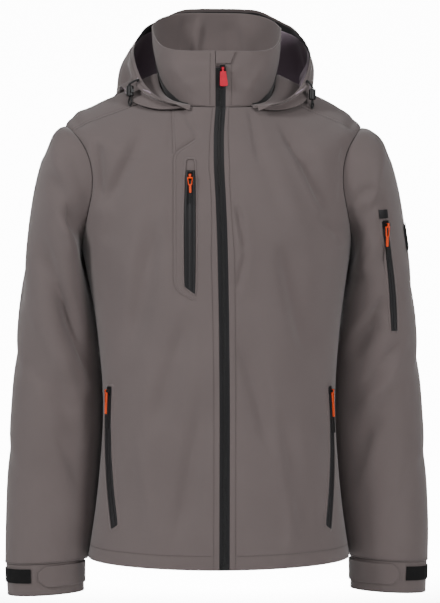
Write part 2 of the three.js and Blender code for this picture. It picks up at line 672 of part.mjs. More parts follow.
// The pocket zips, each from its low end to its high end, and where its pull's end hangs.
const STRIP = "x z half";
const POCKETS = [
  {
    name: "chest",
    skin: onFront,
    rows: table(STRIP, [[-46, -277, 7], [-46, -222, 8], [-46, -166, 8], [-45, -111, 6.5]]),
    over: 0.15,
    rise: 0,
    slide: { x: -45.5, z: -119 },
    hang: { x: -45, z: -158 },
    half: 3.9,
  },
  {
    name: "hand_right",
    skin: onFront,
    rows: table(STRIP, [[-150, -608, 3.6], [-155, -543, 3.4], [-157, -478, 3.2], [-155, -412, 3]]),
    over: 0.15,
    rise: 0,
    slide: { x: -155, z: -418 },
    hang: { x: -156, z: -471 },
    half: 3.2,
  },
  {
    name: "hand_left",
    skin: onFront,
    rows: table(STRIP, [[153, -610, 3.6], [158, -544, 3.4], [159, -478, 3.2], [155, -412, 3]]),
    over: 0.15,
    rise: 0,
    slide: { x: 153.5, z: -418 },
    hang: { x: 157, z: -478 },
    half: 3.2,
  },
  {
    name: "sleeve",
    skin: onLeftSleeve,
    rows: table(STRIP, [[251, -334, 4.6], [248, -282, 4.6], [241, -230, 4.4], [232, -178, 4]]),
    over: 0.3,
    rise: 1.8,
    slide: { x: 233, z: -182 },
    hang: { x: 233, z: -232 },
    half: 3.6,
  },
];
const STRIP_TOP = LIFT + TRIM;
for (const { name, skin, rows, over, rise, slide, hang, half } of POCKETS) {
  add(name + "_zip", strip(skin, rows, 12, TRIM, LIFT + over), BLACK);
  const frame = seat(skin, slide.x, slide.z, hang.x, hang.z, rise);
  const long = skin(slide.x, slide.z).point.distanceTo(skin(hang.x, hang.z).point);
  add(name + "_slider", slider(STRIP_TOP + over + 0.35 - rise).applyMatrix4(frame), METAL);
  add(name + "_pull", loopPull(long, half).applyMatrix4(frame), ORANGE);
  add(name + "_pull_tip", pullTip(long).applyMatrix4(frame), BLACK);
}
// The patch over the top of the sleeve's zip, and the plain badge below the shoulder.
const PATCH = table(STRIP, [[231.5, -174, 6.4], [230, -162, 6.4]]);
add("sleeve_patch", strip(onLeftSleeve, PATCH, 2, 1.0, LIFT + 0.4), BLACK);
const BADGE = { across: steps(8 * DEG, 32 * DEG, 2), down: steps(3.7, 4.25, 3), thick: 1.2 };
const badgeLift = { lift: LIFT + BADGE.thick };
add("sleeve_badge", wall(sleeves.left, BADGE.across, BADGE.down, BADGE.thick, badgeLift), BLACK);

// The front zip's slider at the top of the teeth, with its red tab.
const FRONT_PULL = 25;
const frontSeat = seat(onCollar, 1.5, 33, 3, 8);
add("front_slider", slider(0.1).applyMatrix4(frontSeat), METAL);
add("front_pull", flatPull(FRONT_PULL, 5.6).applyMatrix4(frontSeat), RED);

// The hood's elastic cords: a loop on each side comes out of the hood, through a lock, and back in.
const CORD = 1.2; // radius
const CORD_APART = 1.6; // each strand from the loop's middle
const LOCK_LONG = 15;
const LOCK_HALF = 6;
const LOCK_EDGE = 1; // the bevel of its ends
const LOCK_BUTTON = 2.6; // radius
const oval = (halfX, halfY) => new THREE.Shape().absellipse(0, 0, halfX, halfY, 0, 2 * Math.PI);
function cordLock() {
  const barrel = new THREE.ExtrudeGeometry(oval(LOCK_HALF, LOCK_HALF - 1), {
    depth: LOCK_LONG - 2 * LOCK_EDGE,
    bevelThickness: LOCK_EDGE,
    bevelSize: LOCK_EDGE,
    bevelOffset: -LOCK_EDGE,
    bevelSegments: 1,
    curveSegments: 10,
  });
  const hole = new THREE.ExtrudeGeometry(oval(CORD_APART + CORD + 0.6, CORD + 0.8), {
    depth: LOCK_LONG + 4,
    bevelEnabled: false,
    curveSegments: 8,
  });
  const button = rodAcross(LOCK_BUTTON, 4, LOCK_LONG / 2).translate([LOCK_HALF + 0.6, 0, 0]);
  const solid = toSolid(barrel.translate(0, 0, LOCK_EDGE)).add(button);
  return toGeometry(solid.subtract(toSolid(hole.translate(0, 0, -2))));
}
const CORDS = [
  { name: "right", angle: 292, x: -127, y: -59, top: 14, bottom: -14 },
  { name: "left", angle: 68, x: 133, y: -57, top: 11, bottom: -16 },
];
const EYELET = 0.93; // share of the hood's profile where a cord comes out
const LOOP = 4.4; // half the width of the loop below the lock
for (const { name, angle, x, y, top, bottom } of CORDS) {
  const exit = hood(angle, EYELET);
  const n = normalOf(hood, angle, EYELET);
  const out = new THREE.Vector3(x, y, 0).normalize();
  const across = new THREE.Vector3(0, 0, 1).cross(out);
  const hang = (a, z) => new THREE.Vector3(x, y, z).addScaledVector(across, a);
  const leave = (a, height) => exit.clone().addScaledVector(across, a).addScaledVector(n, height);
  const inLock = steps(top + 3, top - LOCK_LONG - 2, 4);
  const down = [
    leave(CORD_APART, 1),
    leave(CORD_APART, 4),
    ...inLock.map((z) => hang(CORD_APART, z)),
    hang(LOOP, bottom + 5),
  ];
  const up = [
    hang(-LOOP, bottom + 5),
    ...inLock.map((z) => hang(-CORD_APART, z)).reverse(),
    leave(-CORD_APART, 4),
    leave(-CORD_APART, 1),
  ];
  const path = new THREE.CatmullRomCurve3([...down, hang(0, bottom), ...up]);
  const options = { steps: 28, extrudePath: path, bevelEnabled: false, curveSegments: 4 };
  add("hood_cord_" + name, new THREE.ExtrudeGeometry(oval(CORD, CORD), options), BLACK);
  const frame = new THREE.Matrix4().makeBasis(across, out.clone().negate(), new THREE.Vector3(0, 0, 1));
  frame.setPosition(hang(0, top - LOCK_LONG));
  add("cord_lock_" + name, cordLock().applyMatrix4(frame), BLACK);
}

export default jacket;
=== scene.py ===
"""The looks of a man's hooded softshell jacket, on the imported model.

The cut is worked out in millimetres from short tables like those of the part's source, on finer grids.
+Z is up, the front faces -Y and the wearer's left is +X. Angles round the body are measured from the
front, positive towards the wearer's left.
"""

import math

import bmesh
import bpy
import numpy as np
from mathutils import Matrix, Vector


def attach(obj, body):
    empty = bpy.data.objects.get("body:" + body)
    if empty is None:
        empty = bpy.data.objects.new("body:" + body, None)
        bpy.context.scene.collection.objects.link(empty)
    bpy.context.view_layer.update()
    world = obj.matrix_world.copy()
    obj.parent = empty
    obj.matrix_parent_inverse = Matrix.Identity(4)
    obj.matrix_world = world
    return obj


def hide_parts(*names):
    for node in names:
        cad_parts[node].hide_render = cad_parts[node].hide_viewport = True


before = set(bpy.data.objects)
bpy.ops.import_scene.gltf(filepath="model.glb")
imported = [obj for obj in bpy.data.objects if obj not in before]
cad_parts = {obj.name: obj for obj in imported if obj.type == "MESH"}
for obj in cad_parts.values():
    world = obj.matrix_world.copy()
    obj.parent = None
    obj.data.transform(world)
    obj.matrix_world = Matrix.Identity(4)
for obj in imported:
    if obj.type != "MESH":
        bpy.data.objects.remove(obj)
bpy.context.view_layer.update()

MM = 0.001
DEG = math.pi / 180
SHELL = 2.0  # the bonded outer cloth
HOOD_SHELL = 1.4
HOOD_LINING = 0.8
TRIM = 0.9
STRAP = 1.6
SEAM = 0.06  # between two pieces that are sewn together
LIFT = 0.5  # between a panel and what lies on it
ZIP_HALF = 7.0

# Camera: at the photograph's angle, level with the middle of the jacket.
CAMERA_TURN = -3.4 * DEG
CAMERA_AWAY = 3.0
CAMERA_SIDE = 0.00435
CAMERA_HEIGHT = -0.292
CAMERA_LENS = 123.5


def add_camera():
    camera = bpy.data.objects.new("camera", bpy.data.cameras.new("camera"))
    bpy.context.scene.collection.objects.link(camera)
    camera.data.sensor_width = 36
    camera.data.lens = CAMERA_LENS
    back = Vector((math.sin(CAMERA_TURN), -math.cos(CAMERA_TURN), 0))
    right = Vector((math.cos(CAMERA_TURN), math.sin(CAMERA_TURN), 0))
    camera.location = back * CAMERA_AWAY + right * CAMERA_SIDE + Vector((0, 0, CAMERA_HEIGHT))
    camera.rotation_euler = (math.pi / 2, 0, CAMERA_TURN)
    bpy.context.scene.camera = camera


add_camera()


# Sections of the garment, those of the part's source but for a lower hem at the sides
def table(columns, rows):
    """Columns by name, from rows of numbers."""
    return {name: np.array([row[i] for row in rows], float) for i, name in enumerate(columns.split())}


RINGS = "z_front z_side z_back half mid front back square flat lean"
BODY = table(
    RINGS,
    [
        (-664, -659, -666, 188.5, -12, 134, 140, 2.15, 1, 2),  # hem
        (-560, -560, -562, 174.5, -18, 131, 139, 2.1, 1, 2),  # skirt
        (-440, -440, -440, 167, -20, 131, 133, 2.1, 1, 2),  # waist
        (-325, -325, -325, 175.5, -16, 137, 133, 2.15, 1, 1),  # rib
        (-220, -215, -215, 194, -4, 148, 130, 2.25, 1, -1),  # armpit
        (-158, -122, -140, 206, 0, 149, 131, 2.3, 1.1, -3),  # armhole
        (-112, -35, -84, 214, 0, 143, 131, 2.3, 1.2, -5),  # edge of the shoulder
        (-82, -10, -42, 182, 0, 133, 123, 2.25, 1.3, -5),
        (-54, 9, -1, 145, 0, 120, 108, 2.2, 1.4, -4),
        (-20, 35, 55, 82, 0, 107, 68, 2.2, 1.4, -1),  # neckline
    ],
)
ARMPIT, SHOULDER, NECK = 4, 6, 9
COLLAR = table(
    RINGS,
    [
        (-19.6, 35.4, 55.4, 81.2, 0, 106.3, 67.3, 2.2, 1.4, -1),
        (22, 70, 96, 91, 0, 107, 73, 2.2, 1.6, -1),
        (60, 106, 136, 94, 0, 101, 70, 2.2, 1.9, -1),
    ],
)
COLLAR_TOP = 2
SECTIONS = "out_x out_z in_x in_z y depth skew lean"
SLEEVE = table(
    SECTIONS,
    [
        (216, -35, 197, -215, 0, 70, 46, -4),
        (235, -49, 196, -233, 1, 80, 30, -2),
        (249, -78, 191, -252, 3, 84, 15, -1),
        (264, -128, 186, -278, 6, 83, 5, 0),
        (276, -196, 180, -308, 12, 79, 0, 1),
        (286, -265, 173.5, -346, 17, 75, 0, 2),
        (293, -350, 167.5, -398, 20, 72, 0, 2),
        (300, -440, 165.5, -458, 20, 69, 0, 2),
        (305, -530, 171, -534, 15, 64, 0, 2),
        (307.5, -610, 181, -606, 8, 58, 0, 2),
        (307, -668, 192, -661, 2, 52, 0, 1),
    ],
)
SLEEVE_END = 10
CUFF = table(
    SECTIONS,
    [
        (305.5, -668.5, 193.5, -661.5, 2, 50.5, 0, 1),
        (304.5, -691, 193.5, -685, 0, 46, 0, 1),
        (303, -714, 193, -708, -2, 41, 0, 1),
    ],
)
CUFF_END = 2
HOOD = table(
    "angle start reach bag bulge rim rim_z",
    [
        (25, 0.12, 8.78, 5, 0, 114, -25),
        (40, 0.1, 8.5, 8, 2, 126, -12),
        (54, 0.09, 8.3, 11, 5, 124, 3),
        (65, 0.09, 8.2, 13, 8, 125, 20),
        (77, 0.08, 8.2, 13, 7, 126, 42),
        (90, 0.07, 8.15, 13, 5, 129, 66),
        (105, 0.05, 8.0, 17, 7, 132, 84),
        (120, 0.03, 7.0, 31, 12, 138, 104),
        (132, 0.02, 6.3, 45, 18, 143, 122),
        (150, 0.01, 5.5, 53, 24, 123, 144),
        (165, 0.01, 5.15, 57, 28, 106, 147),
        (180, 0.01, 5.05, 58, 30, 98, 147),
    ],
)

# Folds: a soft ridge or trough along a line, seen from one side: h and z where it starts and where it
# ends, its width, its depth, and how many times wider one side of it is. h is y on the two sides and x
# elsewhere, and a negative depth is a trough.
BODY_FOLDS = [
    ("front", -92, -75, -160, -235, 17, -3.5, 1),
    ("front", 72, -40, 150, -225, 15, -4, 1),
    ("front", 45, -60, 82, -170, 14, -2.5, 1),
    ("front", 24, -160, 34, -285, 13, 3, 1),
    ("front", -165, -235, -120, -420, 22, -4, 1),
    ("front", 165, -235, 130, -400, 22, -4, 1),
    ("front", -50, -330, -120, -560, 24, 4, 1),
    ("front", 40, -320, 110, -600, 24, 4, 1),
    ("front", -95, -330, -30, -610, 26, -3, 1),
    ("back", -60, -170, -150, -330, 24, -5, 1),
    ("back", 60, -170, 150, -330, 24, -5, 1),
    ("back", -110, -330, 60, -430, 26, -4, 1),
    ("back", 110, -370, -40, -470, 26, 4, 1),
    ("back", -60, -450, -90, -620, 28, 4, 1),
    ("back", 70, -480, 80, -640, 28, 4, 1),
    ("top", -227, -9, -195, -47, 12, -6, 1),
    ("top", 217, -9, 185, -47, 14, -7, 1),
    ("top", -196, -12, -124, 22, 14, -3.5, 1),
]
SLEEVE_FOLDS = {
    "right": [
        ("front", -238, -115, -196, -185, 12, -7, 1),
        ("front", -226, -95, -190, -150, 10, 4, 1),
        ("front", -256, -200, -205, -350, 13, -8, 1),
        ("front", -262, -270, -200, -420, 14, 5, 1),
        ("front", -232, -400, -200, -500, 14, -4, 1),
        ("left", 40, -180, -10, -300, 18, -5, 1),
        ("back", -260, -150, -200, -260, 15, -6, 1),
        ("back", -270, -300, -200, -390, 15, -6, 1),
        ("back", -280, -420, -210, -480, 16, 5, 1),
        ("top", -212, -58, -236, -28, 12, 6, 1),
        ("top", -242, -54, -256, -84, 12, -5, 1),
    ],
    "left": [
        ("front", 232, -150, 192, -170, 9, -5, 1),
        ("front", 226, -205, 194, -256, 12, 5, 1),
        ("front", 232, -322, 186, -368, 13, -6, 1),
        ("front", 268, -380, 200, -450, 15, 5, 1),
        ("front", 246, -420, 204, -500, 14, -4, 1),
        ("right", 40, -180, -10, -300, 18, -4, 1),
        ("back", 260, -150, 200, -260, 15, -6, 1),
        ("back", 270, -300, 200, -390, 15, -6, 1),
        ("back", 280, -420, 210, -480, 16, 5, 1),
        ("top", 202, -58, 226, -28, 12, 5, 1),
        ("top", 240, -54, 254, -84, 12, -3, 1),
    ],
}
# Creases too fine for the part's source.
BODY_CREASES = [
    ("front", -56, -20, -34, -62, 3.5, -3.6, 1.8),
    ("front", -34, -62, -62, -82, 3.5, -2.5, 1.6),
    ("front", -66, -20, -74, -80, 5, -2.2, 1.6),
    ("front", 40, -22, 52, -100, 5, -3.1, 2.0),
    ("front", 88, -46, 152, -168, 8, -11.4, 2.0),
    ("front", 176, -70, 172, -150, 6, -5.6, 1.6),
    ("front", 140, -172, 174, -206, 7, -5.2, 1.6),
    ("front", 112, -70, 126, -112, 6, -3.4, 1.8),
    ("front", -112, -58, -162, -156, 9, -10.5, 1.8),
    ("front", -176, -66, -172, -152, 6, -7, 1.6),
    ("front", -148, -150, -166, -210, 9, -3.4, 1.6),
    ("front", -78, -150, -90, -270, 9, 2.8, 1.5),
    ("front", -96, -196, -128, -350, 13, -10.5, 1.7),
    ("front", 19, -160, 30, -226, 4, -5.6, 1.8),
    ("front", 30, -226, 19, -275, 4, -3.9, 1.6),
    ("front", 84, -220, 118, -360, 13, -9.6, 1.7),
    ("front", 26, -340, 70, -500, 13, -8.8, 1.7),
    ("front", -52, -320, -98, -470, 13, -9.6, 1.7),
    ("front", -28, -430, -64, -620, 13, -7.9, 1.6),
    ("front", 84, -440, 112, -610, 12, -7, 1.6),
    ("front", -112, -500, -92, -640, 10, 3.1, 1.5),
    ("front", 104, -520, 92, -645, 10, 3.1, 1.5),
    ("back", -30, 30, -70, -60, 8, -2.5, 1.5),
    ("back", 30, 30, 74, -56, 8, -2.5, 1.5),
    ("back", -90, -90, -150, -200, 12, -6, 1.6),
    ("back", 90, -90, 150, -200, 12, -6, 1.6),
    ("back", -130, -260, -60, -330, 10, -5.6, 1.6),
    ("back", 140, -290, 60, -350, 10, -5.6, 1.6),
    ("back", 0, -380, 110, -440, 9, -3.9, 1.8),
    ("back", -120, -420, -20, -470, 10, -3.6, 1.6),
    ("back", -10, -520, 20, -630, 14, 2.8, 1.5),
    ("right", 60, -250, 10, -420, 14, -6.2, 1.5),
    ("left", 60, -250, 10, -420, 14, -6.2, 1.5),
    ("right", 50, -620, 50, -740, 34, 9, 1.0),
    ("left", 50, -620, 50, -740, 34, 12, 1.0),
]
COLLAR_CREASES = [
    ("front", -60, 20, -20, 26, 7, -2.0, 1.5),
    ("front", -76, 46, -34, 2, 7, 2.2, 1.5),
    ("front", -58, 50, -14, 44, 6, -1.4, 1.5),
    ("front", 72, 56, 36, 0, 7, 2.4, 1.5),
    ("front", 20, 26, 58, 10, 7, -1.8, 1.5),
    ("back", -22, 128, -32, 58, 4.2, -5.0, 1.8),
    ("back", -44, 128, -50, 70, 8, 3.0, 1.5),
    ("back", 42, 128, 52, 60, 8, -4.0, 1.8),
    ("back", 18, 120, 20, 70, 9, 2.0, 1.5),
]
SLEEVE_CREASES = {
    "right": [
        ("front", -222, -166, -180, -218, 8, -8, 1.8),
        ("front", -222, -184, -184, -246, 8, 4.8, 1.4),
        ("front", -262, -226, -232, -284, 6, -4.1, 1.8),
        ("front", -206, -84, -196, -150, 5, -2.4, 1.8),
        ("front", -232, -276, -180, -400, 7, -9, 1.8),
        ("front", -270, -300, -218, -400, 10, 3.6, 1.6),
        ("front", -284, -370, -214, -450, 9, -3.8, 1.8),
        ("front", -232, -470, -196, -560, 8, -3.1, 1.6),
        ("front", -270, -520, -226, -600, 10, -2.2, 1.6),
        ("front", -250, -620, -220, -655, 6, 1.7, 1.5),
        ("right", 64, -160, 66, -480, 30, 34, 1.0),
        ("right", 66, -430, 46, -650, 26, 30, 1.0),
        ("right", -4, -580, -4, -710, 34, 4.5, 1.0),
        ("left", 50, -330, -20, -400, 12, -2.9, 1.6),
        ("left", 40, -480, -30, -540, 12, -2.4, 1.6),
        ("back", -290, -350, -230, -420, 9, -3.1, 1.8),
        ("back", -240, -500, -200, -570, 9, -2.4, 1.8),
    ],
    "left": [
        ("front", 176, -158, 218, -131, 6, -10, 1.6),
        ("front", 184, -170, 212, -150, 9, 6, 1.4),
        ("front", 214, -206, 190, -268, 8, -5, 1.8),
        ("front", 206, -96, 196, -160, 5, -2.4, 1.8),
        ("front", 262, -350, 210, -410, 8, -4.1, 1.8),
        ("front", 236, -290, 188, -352, 7, -7.2, 1.8),
        ("front", 284, -350, 250, -420, 10, -2.4, 1.6),
        ("front", 228, -480, 204, -560, 8, 2.4, 1.5),
        ("front", 280, -530, 240, -610, 10, -2.2, 1.6),
        ("left", 64, -160, 66, -480, 30, 24, 1.0),
        ("left", 66, -430, 46, -640, 26, 22, 1.0),
        ("right", 50, -330, -20, -400, 12, -2.9, 1.6),
        ("right", 40, -480, -30, -540, 12, -2.4, 1.6),
        ("back", 290, -350, 230, -420, 9, -3.1, 1.8),
        ("back", 240, -500, 200, -570, 9, -2.4, 1.8),
    ],
}
HOOD_CREASES = [
    ("back", -40, 120, -70, 30, 9, -2.6, 1.5),
    ("back", 46, 116, 74, 34, 9, -2.6, 1.5),
    ("back", -100, 90, -60, -60, 12, -3.0, 1.6),
    ("back", 104, 84, 60, -70, 12, -3.0, 1.6),
    ("back", -20, 40, -30, -90, 12, 2.4, 1.5),
    ("back", 24, 50, 20, -80, 12, 2.4, 1.5),
    ("front", -124, 30, -138, 2, 6, -1.6, 1.5),
    ("front", 128, 30, 140, 2, 6, -1.6, 1.5),
]
VIEWS = {
    "front": (0, (0, -1, 0)),
    "back": (0, (0, 1, 0)),
    "right": (1, (1, 0, 0)),
    "left": (1, (-1, 0, 0)),
    "top": (0, (0, 0, 1)),
}


# Smooth surfaces from the tables
def lerp(a, b, share):
    return a + (b - a) * share


def smooth(x, low, high):
    t = np.clip((x - low) / (high - low), 0, 1)
    return t * t * (3 - 2 * t)


def unit(vectors):
    return vectors / np.maximum(np.linalg.norm(vectors, axis=-1, keepdims=True), 1e-12)


def point(x, y, z):
    return np.stack(np.broadcast_arrays(x, y, z), axis=-1).astype(float)


def between(p0, p1, p2, p3, s):
    """A value on a smooth line through four neighbours, at share s from the second to the third."""
    m1, m2 = (p2 - p0) / 2, (p3 - p1) / 2
    s2, s3 = s * s, s * s * s
    return (2 * s3 - 3 * s2 + 1) * p1 + (s3 - 2 * s2 + s) * m1 + (3 * s2 - 2 * s3) * p2 + (s3 - s2) * m2


def row_at(rows, place):
    """The row of a table at places between its rows."""
    last = len(next(iter(rows.values()))) - 1
    at = np.clip(np.asarray(place, float), 0, last)
    i = np.minimum(at.astype(int), last - 1)
    columns = np.stack(list(rows.values()))
    near = [columns[:, np.clip(i + k, 0, last)] for k in (-1, 0, 1, 2)]
    return dict(zip(rows, between(*near, at - i)))


def ring_radius(row, phi):
    depth = np.where(np.cos(phi) > 0, row["front"], row["back"])
    across = np.abs(np.sin(phi) / row["half"]) ** row["square"]
    deep = np.abs(np.cos(phi) / depth) ** row["square"]
    return (across + deep) ** (-1 / row["square"])


RIDGE = 0.15  # how softly a ring turns over the shoulder


def ring_point(row, phi):
    c = np.cos(phi)
    end = np.where(c > 0, row["z_front"], row["z_back"])
    away = (np.hypot(c, RIDGE) - RIDGE) / (math.hypot(1, RIDGE) - RIDGE)
    z = row["z_side"] + (end - row["z_side"]) * (1 - (1 - np.clip(away, 0, 1)) ** row["flat"])
    r = ring_radius(row, phi)
    return point(row["lean"] + r * np.sin(phi), row["mid"] - r * c, z)


def body_form(phi, place):
    return ring_point(row_at(BODY, place), phi)


def collar_form(phi, place):
    return ring_point(row_at(COLLAR, place), phi)


def normal_of(surface, u, v, turn=1):
    e = 1e-3
    du = surface(u + e, v) - surface(u - e, v)
    dv = surface(u, v + e) - surface(u, v - e)
    return unit(np.cross(du, dv)) * turn


def fold_depth(folds, p, n):
    """How far a table of folds moves points along their normals."""
    total = np.zeros(p.shape[:-1])
    for view, h0, z0, h1, z1, width, depth, wider in folds:
        axis, sight = VIEWS[view]
        facing = np.sqrt(np.clip(n @ np.array(sight, float), 0, 1))
        dh, dz = h1 - h0, z1 - z0
        long = math.hypot(dh, dz)
        h, z = p[..., axis] - h0, p[..., 2] - z0
        share = (h * dh + z * dz) / long**2
        off = (h * dz - z * dh) / long
        wide = np.where(off > 0, width, width * wider)
        ends = smooth(share, -0.15, 0.25) * (1 - smooth(share, 0.75, 1.15))
        total += depth * ends * np.exp(-((off / wide) ** 2)) * facing
    return total


def with_folds(surface, folds, turn=1):
    def folded(u, v):
        n = normal_of(surface, u, v, turn)
        p = surface(u, v)
        return p + n * fold_depth(folds, p, n)[..., None]

    return folded


body = with_folds(body_form, BODY_FOLDS)
draped = with_folds(body_form, BODY_FOLDS + BODY_CREASES)
collar = with_folds(collar_form, COLLAR_CREASES)

# The armhole, in degrees round the body
ARMHOLE = {"bottom": 90, "top": 76, "middle": 84, "front": 19, "back": 29}


def armhole_edge(theta):
    share = (1 + np.cos(theta)) / 2
    reach = np.where(np.sin(theta) > 0, ARMHOLE["front"], ARMHOLE["back"])
    phi = lerp(ARMHOLE["bottom"], ARMHOLE["top"], share) - reach * np.sin(theta)
    return phi * DEG, lerp(ARMPIT, SHOULDER, share)


def armhole_angle(place):
    return np.arccos(np.clip(2 * (place - ARMPIT) / (SHOULDER - ARMPIT) - 1, -1, 1))


NECK_SEAM = 62 * DEG


def panel_edge(place, side):
    """Where the front ends (side 1) or the back begins (side -1), on each level."""
    above = np.clip((place - SHOULDER) / (NECK - SHOULDER), 0, 1)
    over = lerp(ARMHOLE["top"] * DEG, NECK_SEAM, above)
    beside = armhole_edge(side * armhole_angle(place))[0]
    return np.where(place <= ARMPIT, ARMHOLE["bottom"] * DEG, np.where(place < SHOULDER, beside, over))


def tube_form(rows, side, theta, place):
    row = row_at(rows, place)
    centre = point((row["out_x"] + row["in_x"]) / 2, row["y"], (row["out_z"] + row["in_z"]) / 2)
    reach = point((row["out_x"] - row["in_x"]) / 2, 0, (row["out_z"] - row["in_z"]) / 2)
    p = centre + reach * np.cos(theta)[..., None]
    p[..., 1] -= row["depth"] * np.sin(theta) + row["skew"] * (1 + np.cos(theta)) / 2
    p[..., 0] = side * p[..., 0] + row["lean"]
    return p


def armhole(side, theta):
    phi, place = armhole_edge(theta)
    middle = body(np.array([side * ARMHOLE["middle"] * DEG]), np.array([(ARMPIT + SHOULDER) / 2]))[0]
    p = body(side * phi, place)
    return p + unit(middle - p) * SEAM


ARMHOLE_BLEND = 1.5


def sleeve_form(side, theta, place):
    theta, place = np.broadcast_arrays(theta, place)
    share = smooth(place, 0, ARMHOLE_BLEND)[..., None]
    return lerp(armhole(side, theta), tube_form(SLEEVE, side, theta, place), share)


def sleeve_skin(side):
    def form(theta, place):
        return sleeve_form(side, theta, place)

    name = "left" if side > 0 else "right"
    folded = with_folds(form, SLEEVE_FOLDS[name] + SLEEVE_CREASES[name], side)

    def skin(theta, place):
        return lerp(form(theta, place), folded(theta, place), smooth(place, 0.2, 1.5)[..., None])

    return skin


SIDES = {"right": -1, "left": 1}
sleeves = {name: sleeve_skin(side) for name, side in SIDES.items()}

HOOD_FIRST = HOOD["angle"][0]
HOOD_SLIP = 5
RIM_LEAN = 0.04
HOOD_EDGE = 1.1
HOOD_REST = 2.8
UNDER = 0.5
UNDER_REACH = 0.88
UPPER_REACH = 0.75


def hood_row(angle):
    away = np.abs(180 - angle)
    folded = 180 - np.hypot(away, 6) + 6 * (1 - smooth(away, 0, 40))
    place = np.interp(folded, HOOD["angle"], np.arange(len(HOOD["angle"])))
    return row_at(HOOD, place)


def hood_form(angle, share):
    angle, share = np.broadcast_arrays(np.asarray(angle, float), np.asarray(share, float))
    row = hood_row(angle)
    phi = angle * DEG

    def over(part, height, slip=0.0):
        place = lerp(NECK, row["reach"], part)
        n = normal_of(body_form, phi, place)
        p = body_form(phi, place) + n * np.asarray(height)[..., None]
        p[..., 0] += slip
        return p

    rest = over(
        lerp(row["start"], UNDER_REACH, share / UNDER), lerp(HOOD_EDGE, HOOD_REST, smooth(share, 0, 0.1))
    )
    out = point(np.sin(phi), -np.cos(phi), 0)
    rim = out * row["rim"][..., None]
    rim[..., 0] += HOOD_SLIP + row["rim_z"] * RIM_LEAN
    rim[..., 2] = row["rim_z"]
    upper = over(UPPER_REACH, row["bag"], HOOD_SLIP)
    line = [
        over(UNDER_REACH - 0.12, HOOD_REST),
        over(UNDER_REACH, HOOD_REST),
        over(1, (row["bag"] + HOOD_REST) / 2, HOOD_SLIP / 2),
        upper,
        lerp(upper, rim, 0.5) + out * row["bulge"][..., None],
        rim,
    ]
    at = 1 + 4 * np.clip((share - UNDER) / (1 - UNDER), 0, 1)
    i = np.minimum(at.astype(int), 4)
    stack = np.stack(line)
    near = [np.take_along_axis(stack, np.clip(i + k, 0, 5)[None, ..., None], 0)[0] for k in (-1, 0, 1, 2)]
    bag = between(*near, (at - i)[..., None])
    return np.where((share < UNDER)[..., None], rest, bag)


# Meshes
def new_mesh(name, vertices, faces, uv=None):
    """An object from points in millimetres and an array of quads or triangles."""
    mesh = bpy.data.meshes.new(name)
    faces = np.asarray(faces, np.int32)
    corners = faces.shape[1]
    mesh.vertices.add(len(vertices))
    mesh.vertices.foreach_set("co", (np.asarray(vertices, float) * MM).ravel())
    mesh.loops.add(faces.size)
    mesh.loops.foreach_set("vertex_index", faces.ravel())
    mesh.polygons.add(len(faces))
    mesh.polygons.foreach_set("loop_start", np.arange(0, faces.size, corners, dtype=np.int32))
    mesh.polygons.foreach_set("use_smooth", np.full(len(faces), True))
    if uv is not None:
        layer = mesh.uv_layers.new(name="cloth")
        layer.data.foreach_set("uv", (np.asarray(uv, float)[faces.ravel()] * MM).ravel())
    mesh.update(calc_edges=True)
    mesh.validate()
    made = bpy.data.objects.new(name, mesh)
    bpy.context.scene.collection.objects.link(made)
    return made


def grid_faces(rows, columns, closed=False):
    """The point numbers of a grid, and its quads. A closed grid goes all round along its rows."""
    index = np.arange(rows * columns).reshape(rows, columns)
    if closed:
        index = np.concatenate([index, index[:, :1]], 1)
    corners = index[:-1, :-1], index[:-1, 1:], index[1:, 1:], index[1:, :-1]
    return index, np.stack(corners, -1).reshape(-1, 4)


def ribbon(name, lines, closed=False, turn=1):
    """One layer of faces between lines of points."""
    points = np.stack(lines)
    faces = grid_faces(*points.shape[:2], closed)[1]
    flat = points.reshape(-1, 3)
    return new_mesh(name, flat, faces[:, ::turn], flat[:, [0, 2]])


def grid_normals(points, closed, turn):
    if closed:
        du = np.roll(points, -1, 1) - np.roll(points, 1, 1)
    else:
        du = np.gradient(points, axis=1)
    return unit(np.cross(du, np.gradient(points, axis=0))) * turn


def far_from(points, axis, reverse=False):
    """Distance along the grid from one of its edges."""
    steps = np.linalg.norm(np.diff(points, axis=axis), axis=-1)
    if reverse:
        steps = np.flip(steps, axis)
    pad = [(0, 0), (0, 0)]
    pad[axis] = (1, 0)
    total = np.pad(np.cumsum(steps, axis=axis), pad)
    return np.flip(total, axis) if reverse else total


EDGES = {"left": (1, False), "right": (1, True), "bottom": (0, False), "top": (0, True)}


def all_round(reach, deep):
    return {edge: (reach, deep) for edge in EDGES}


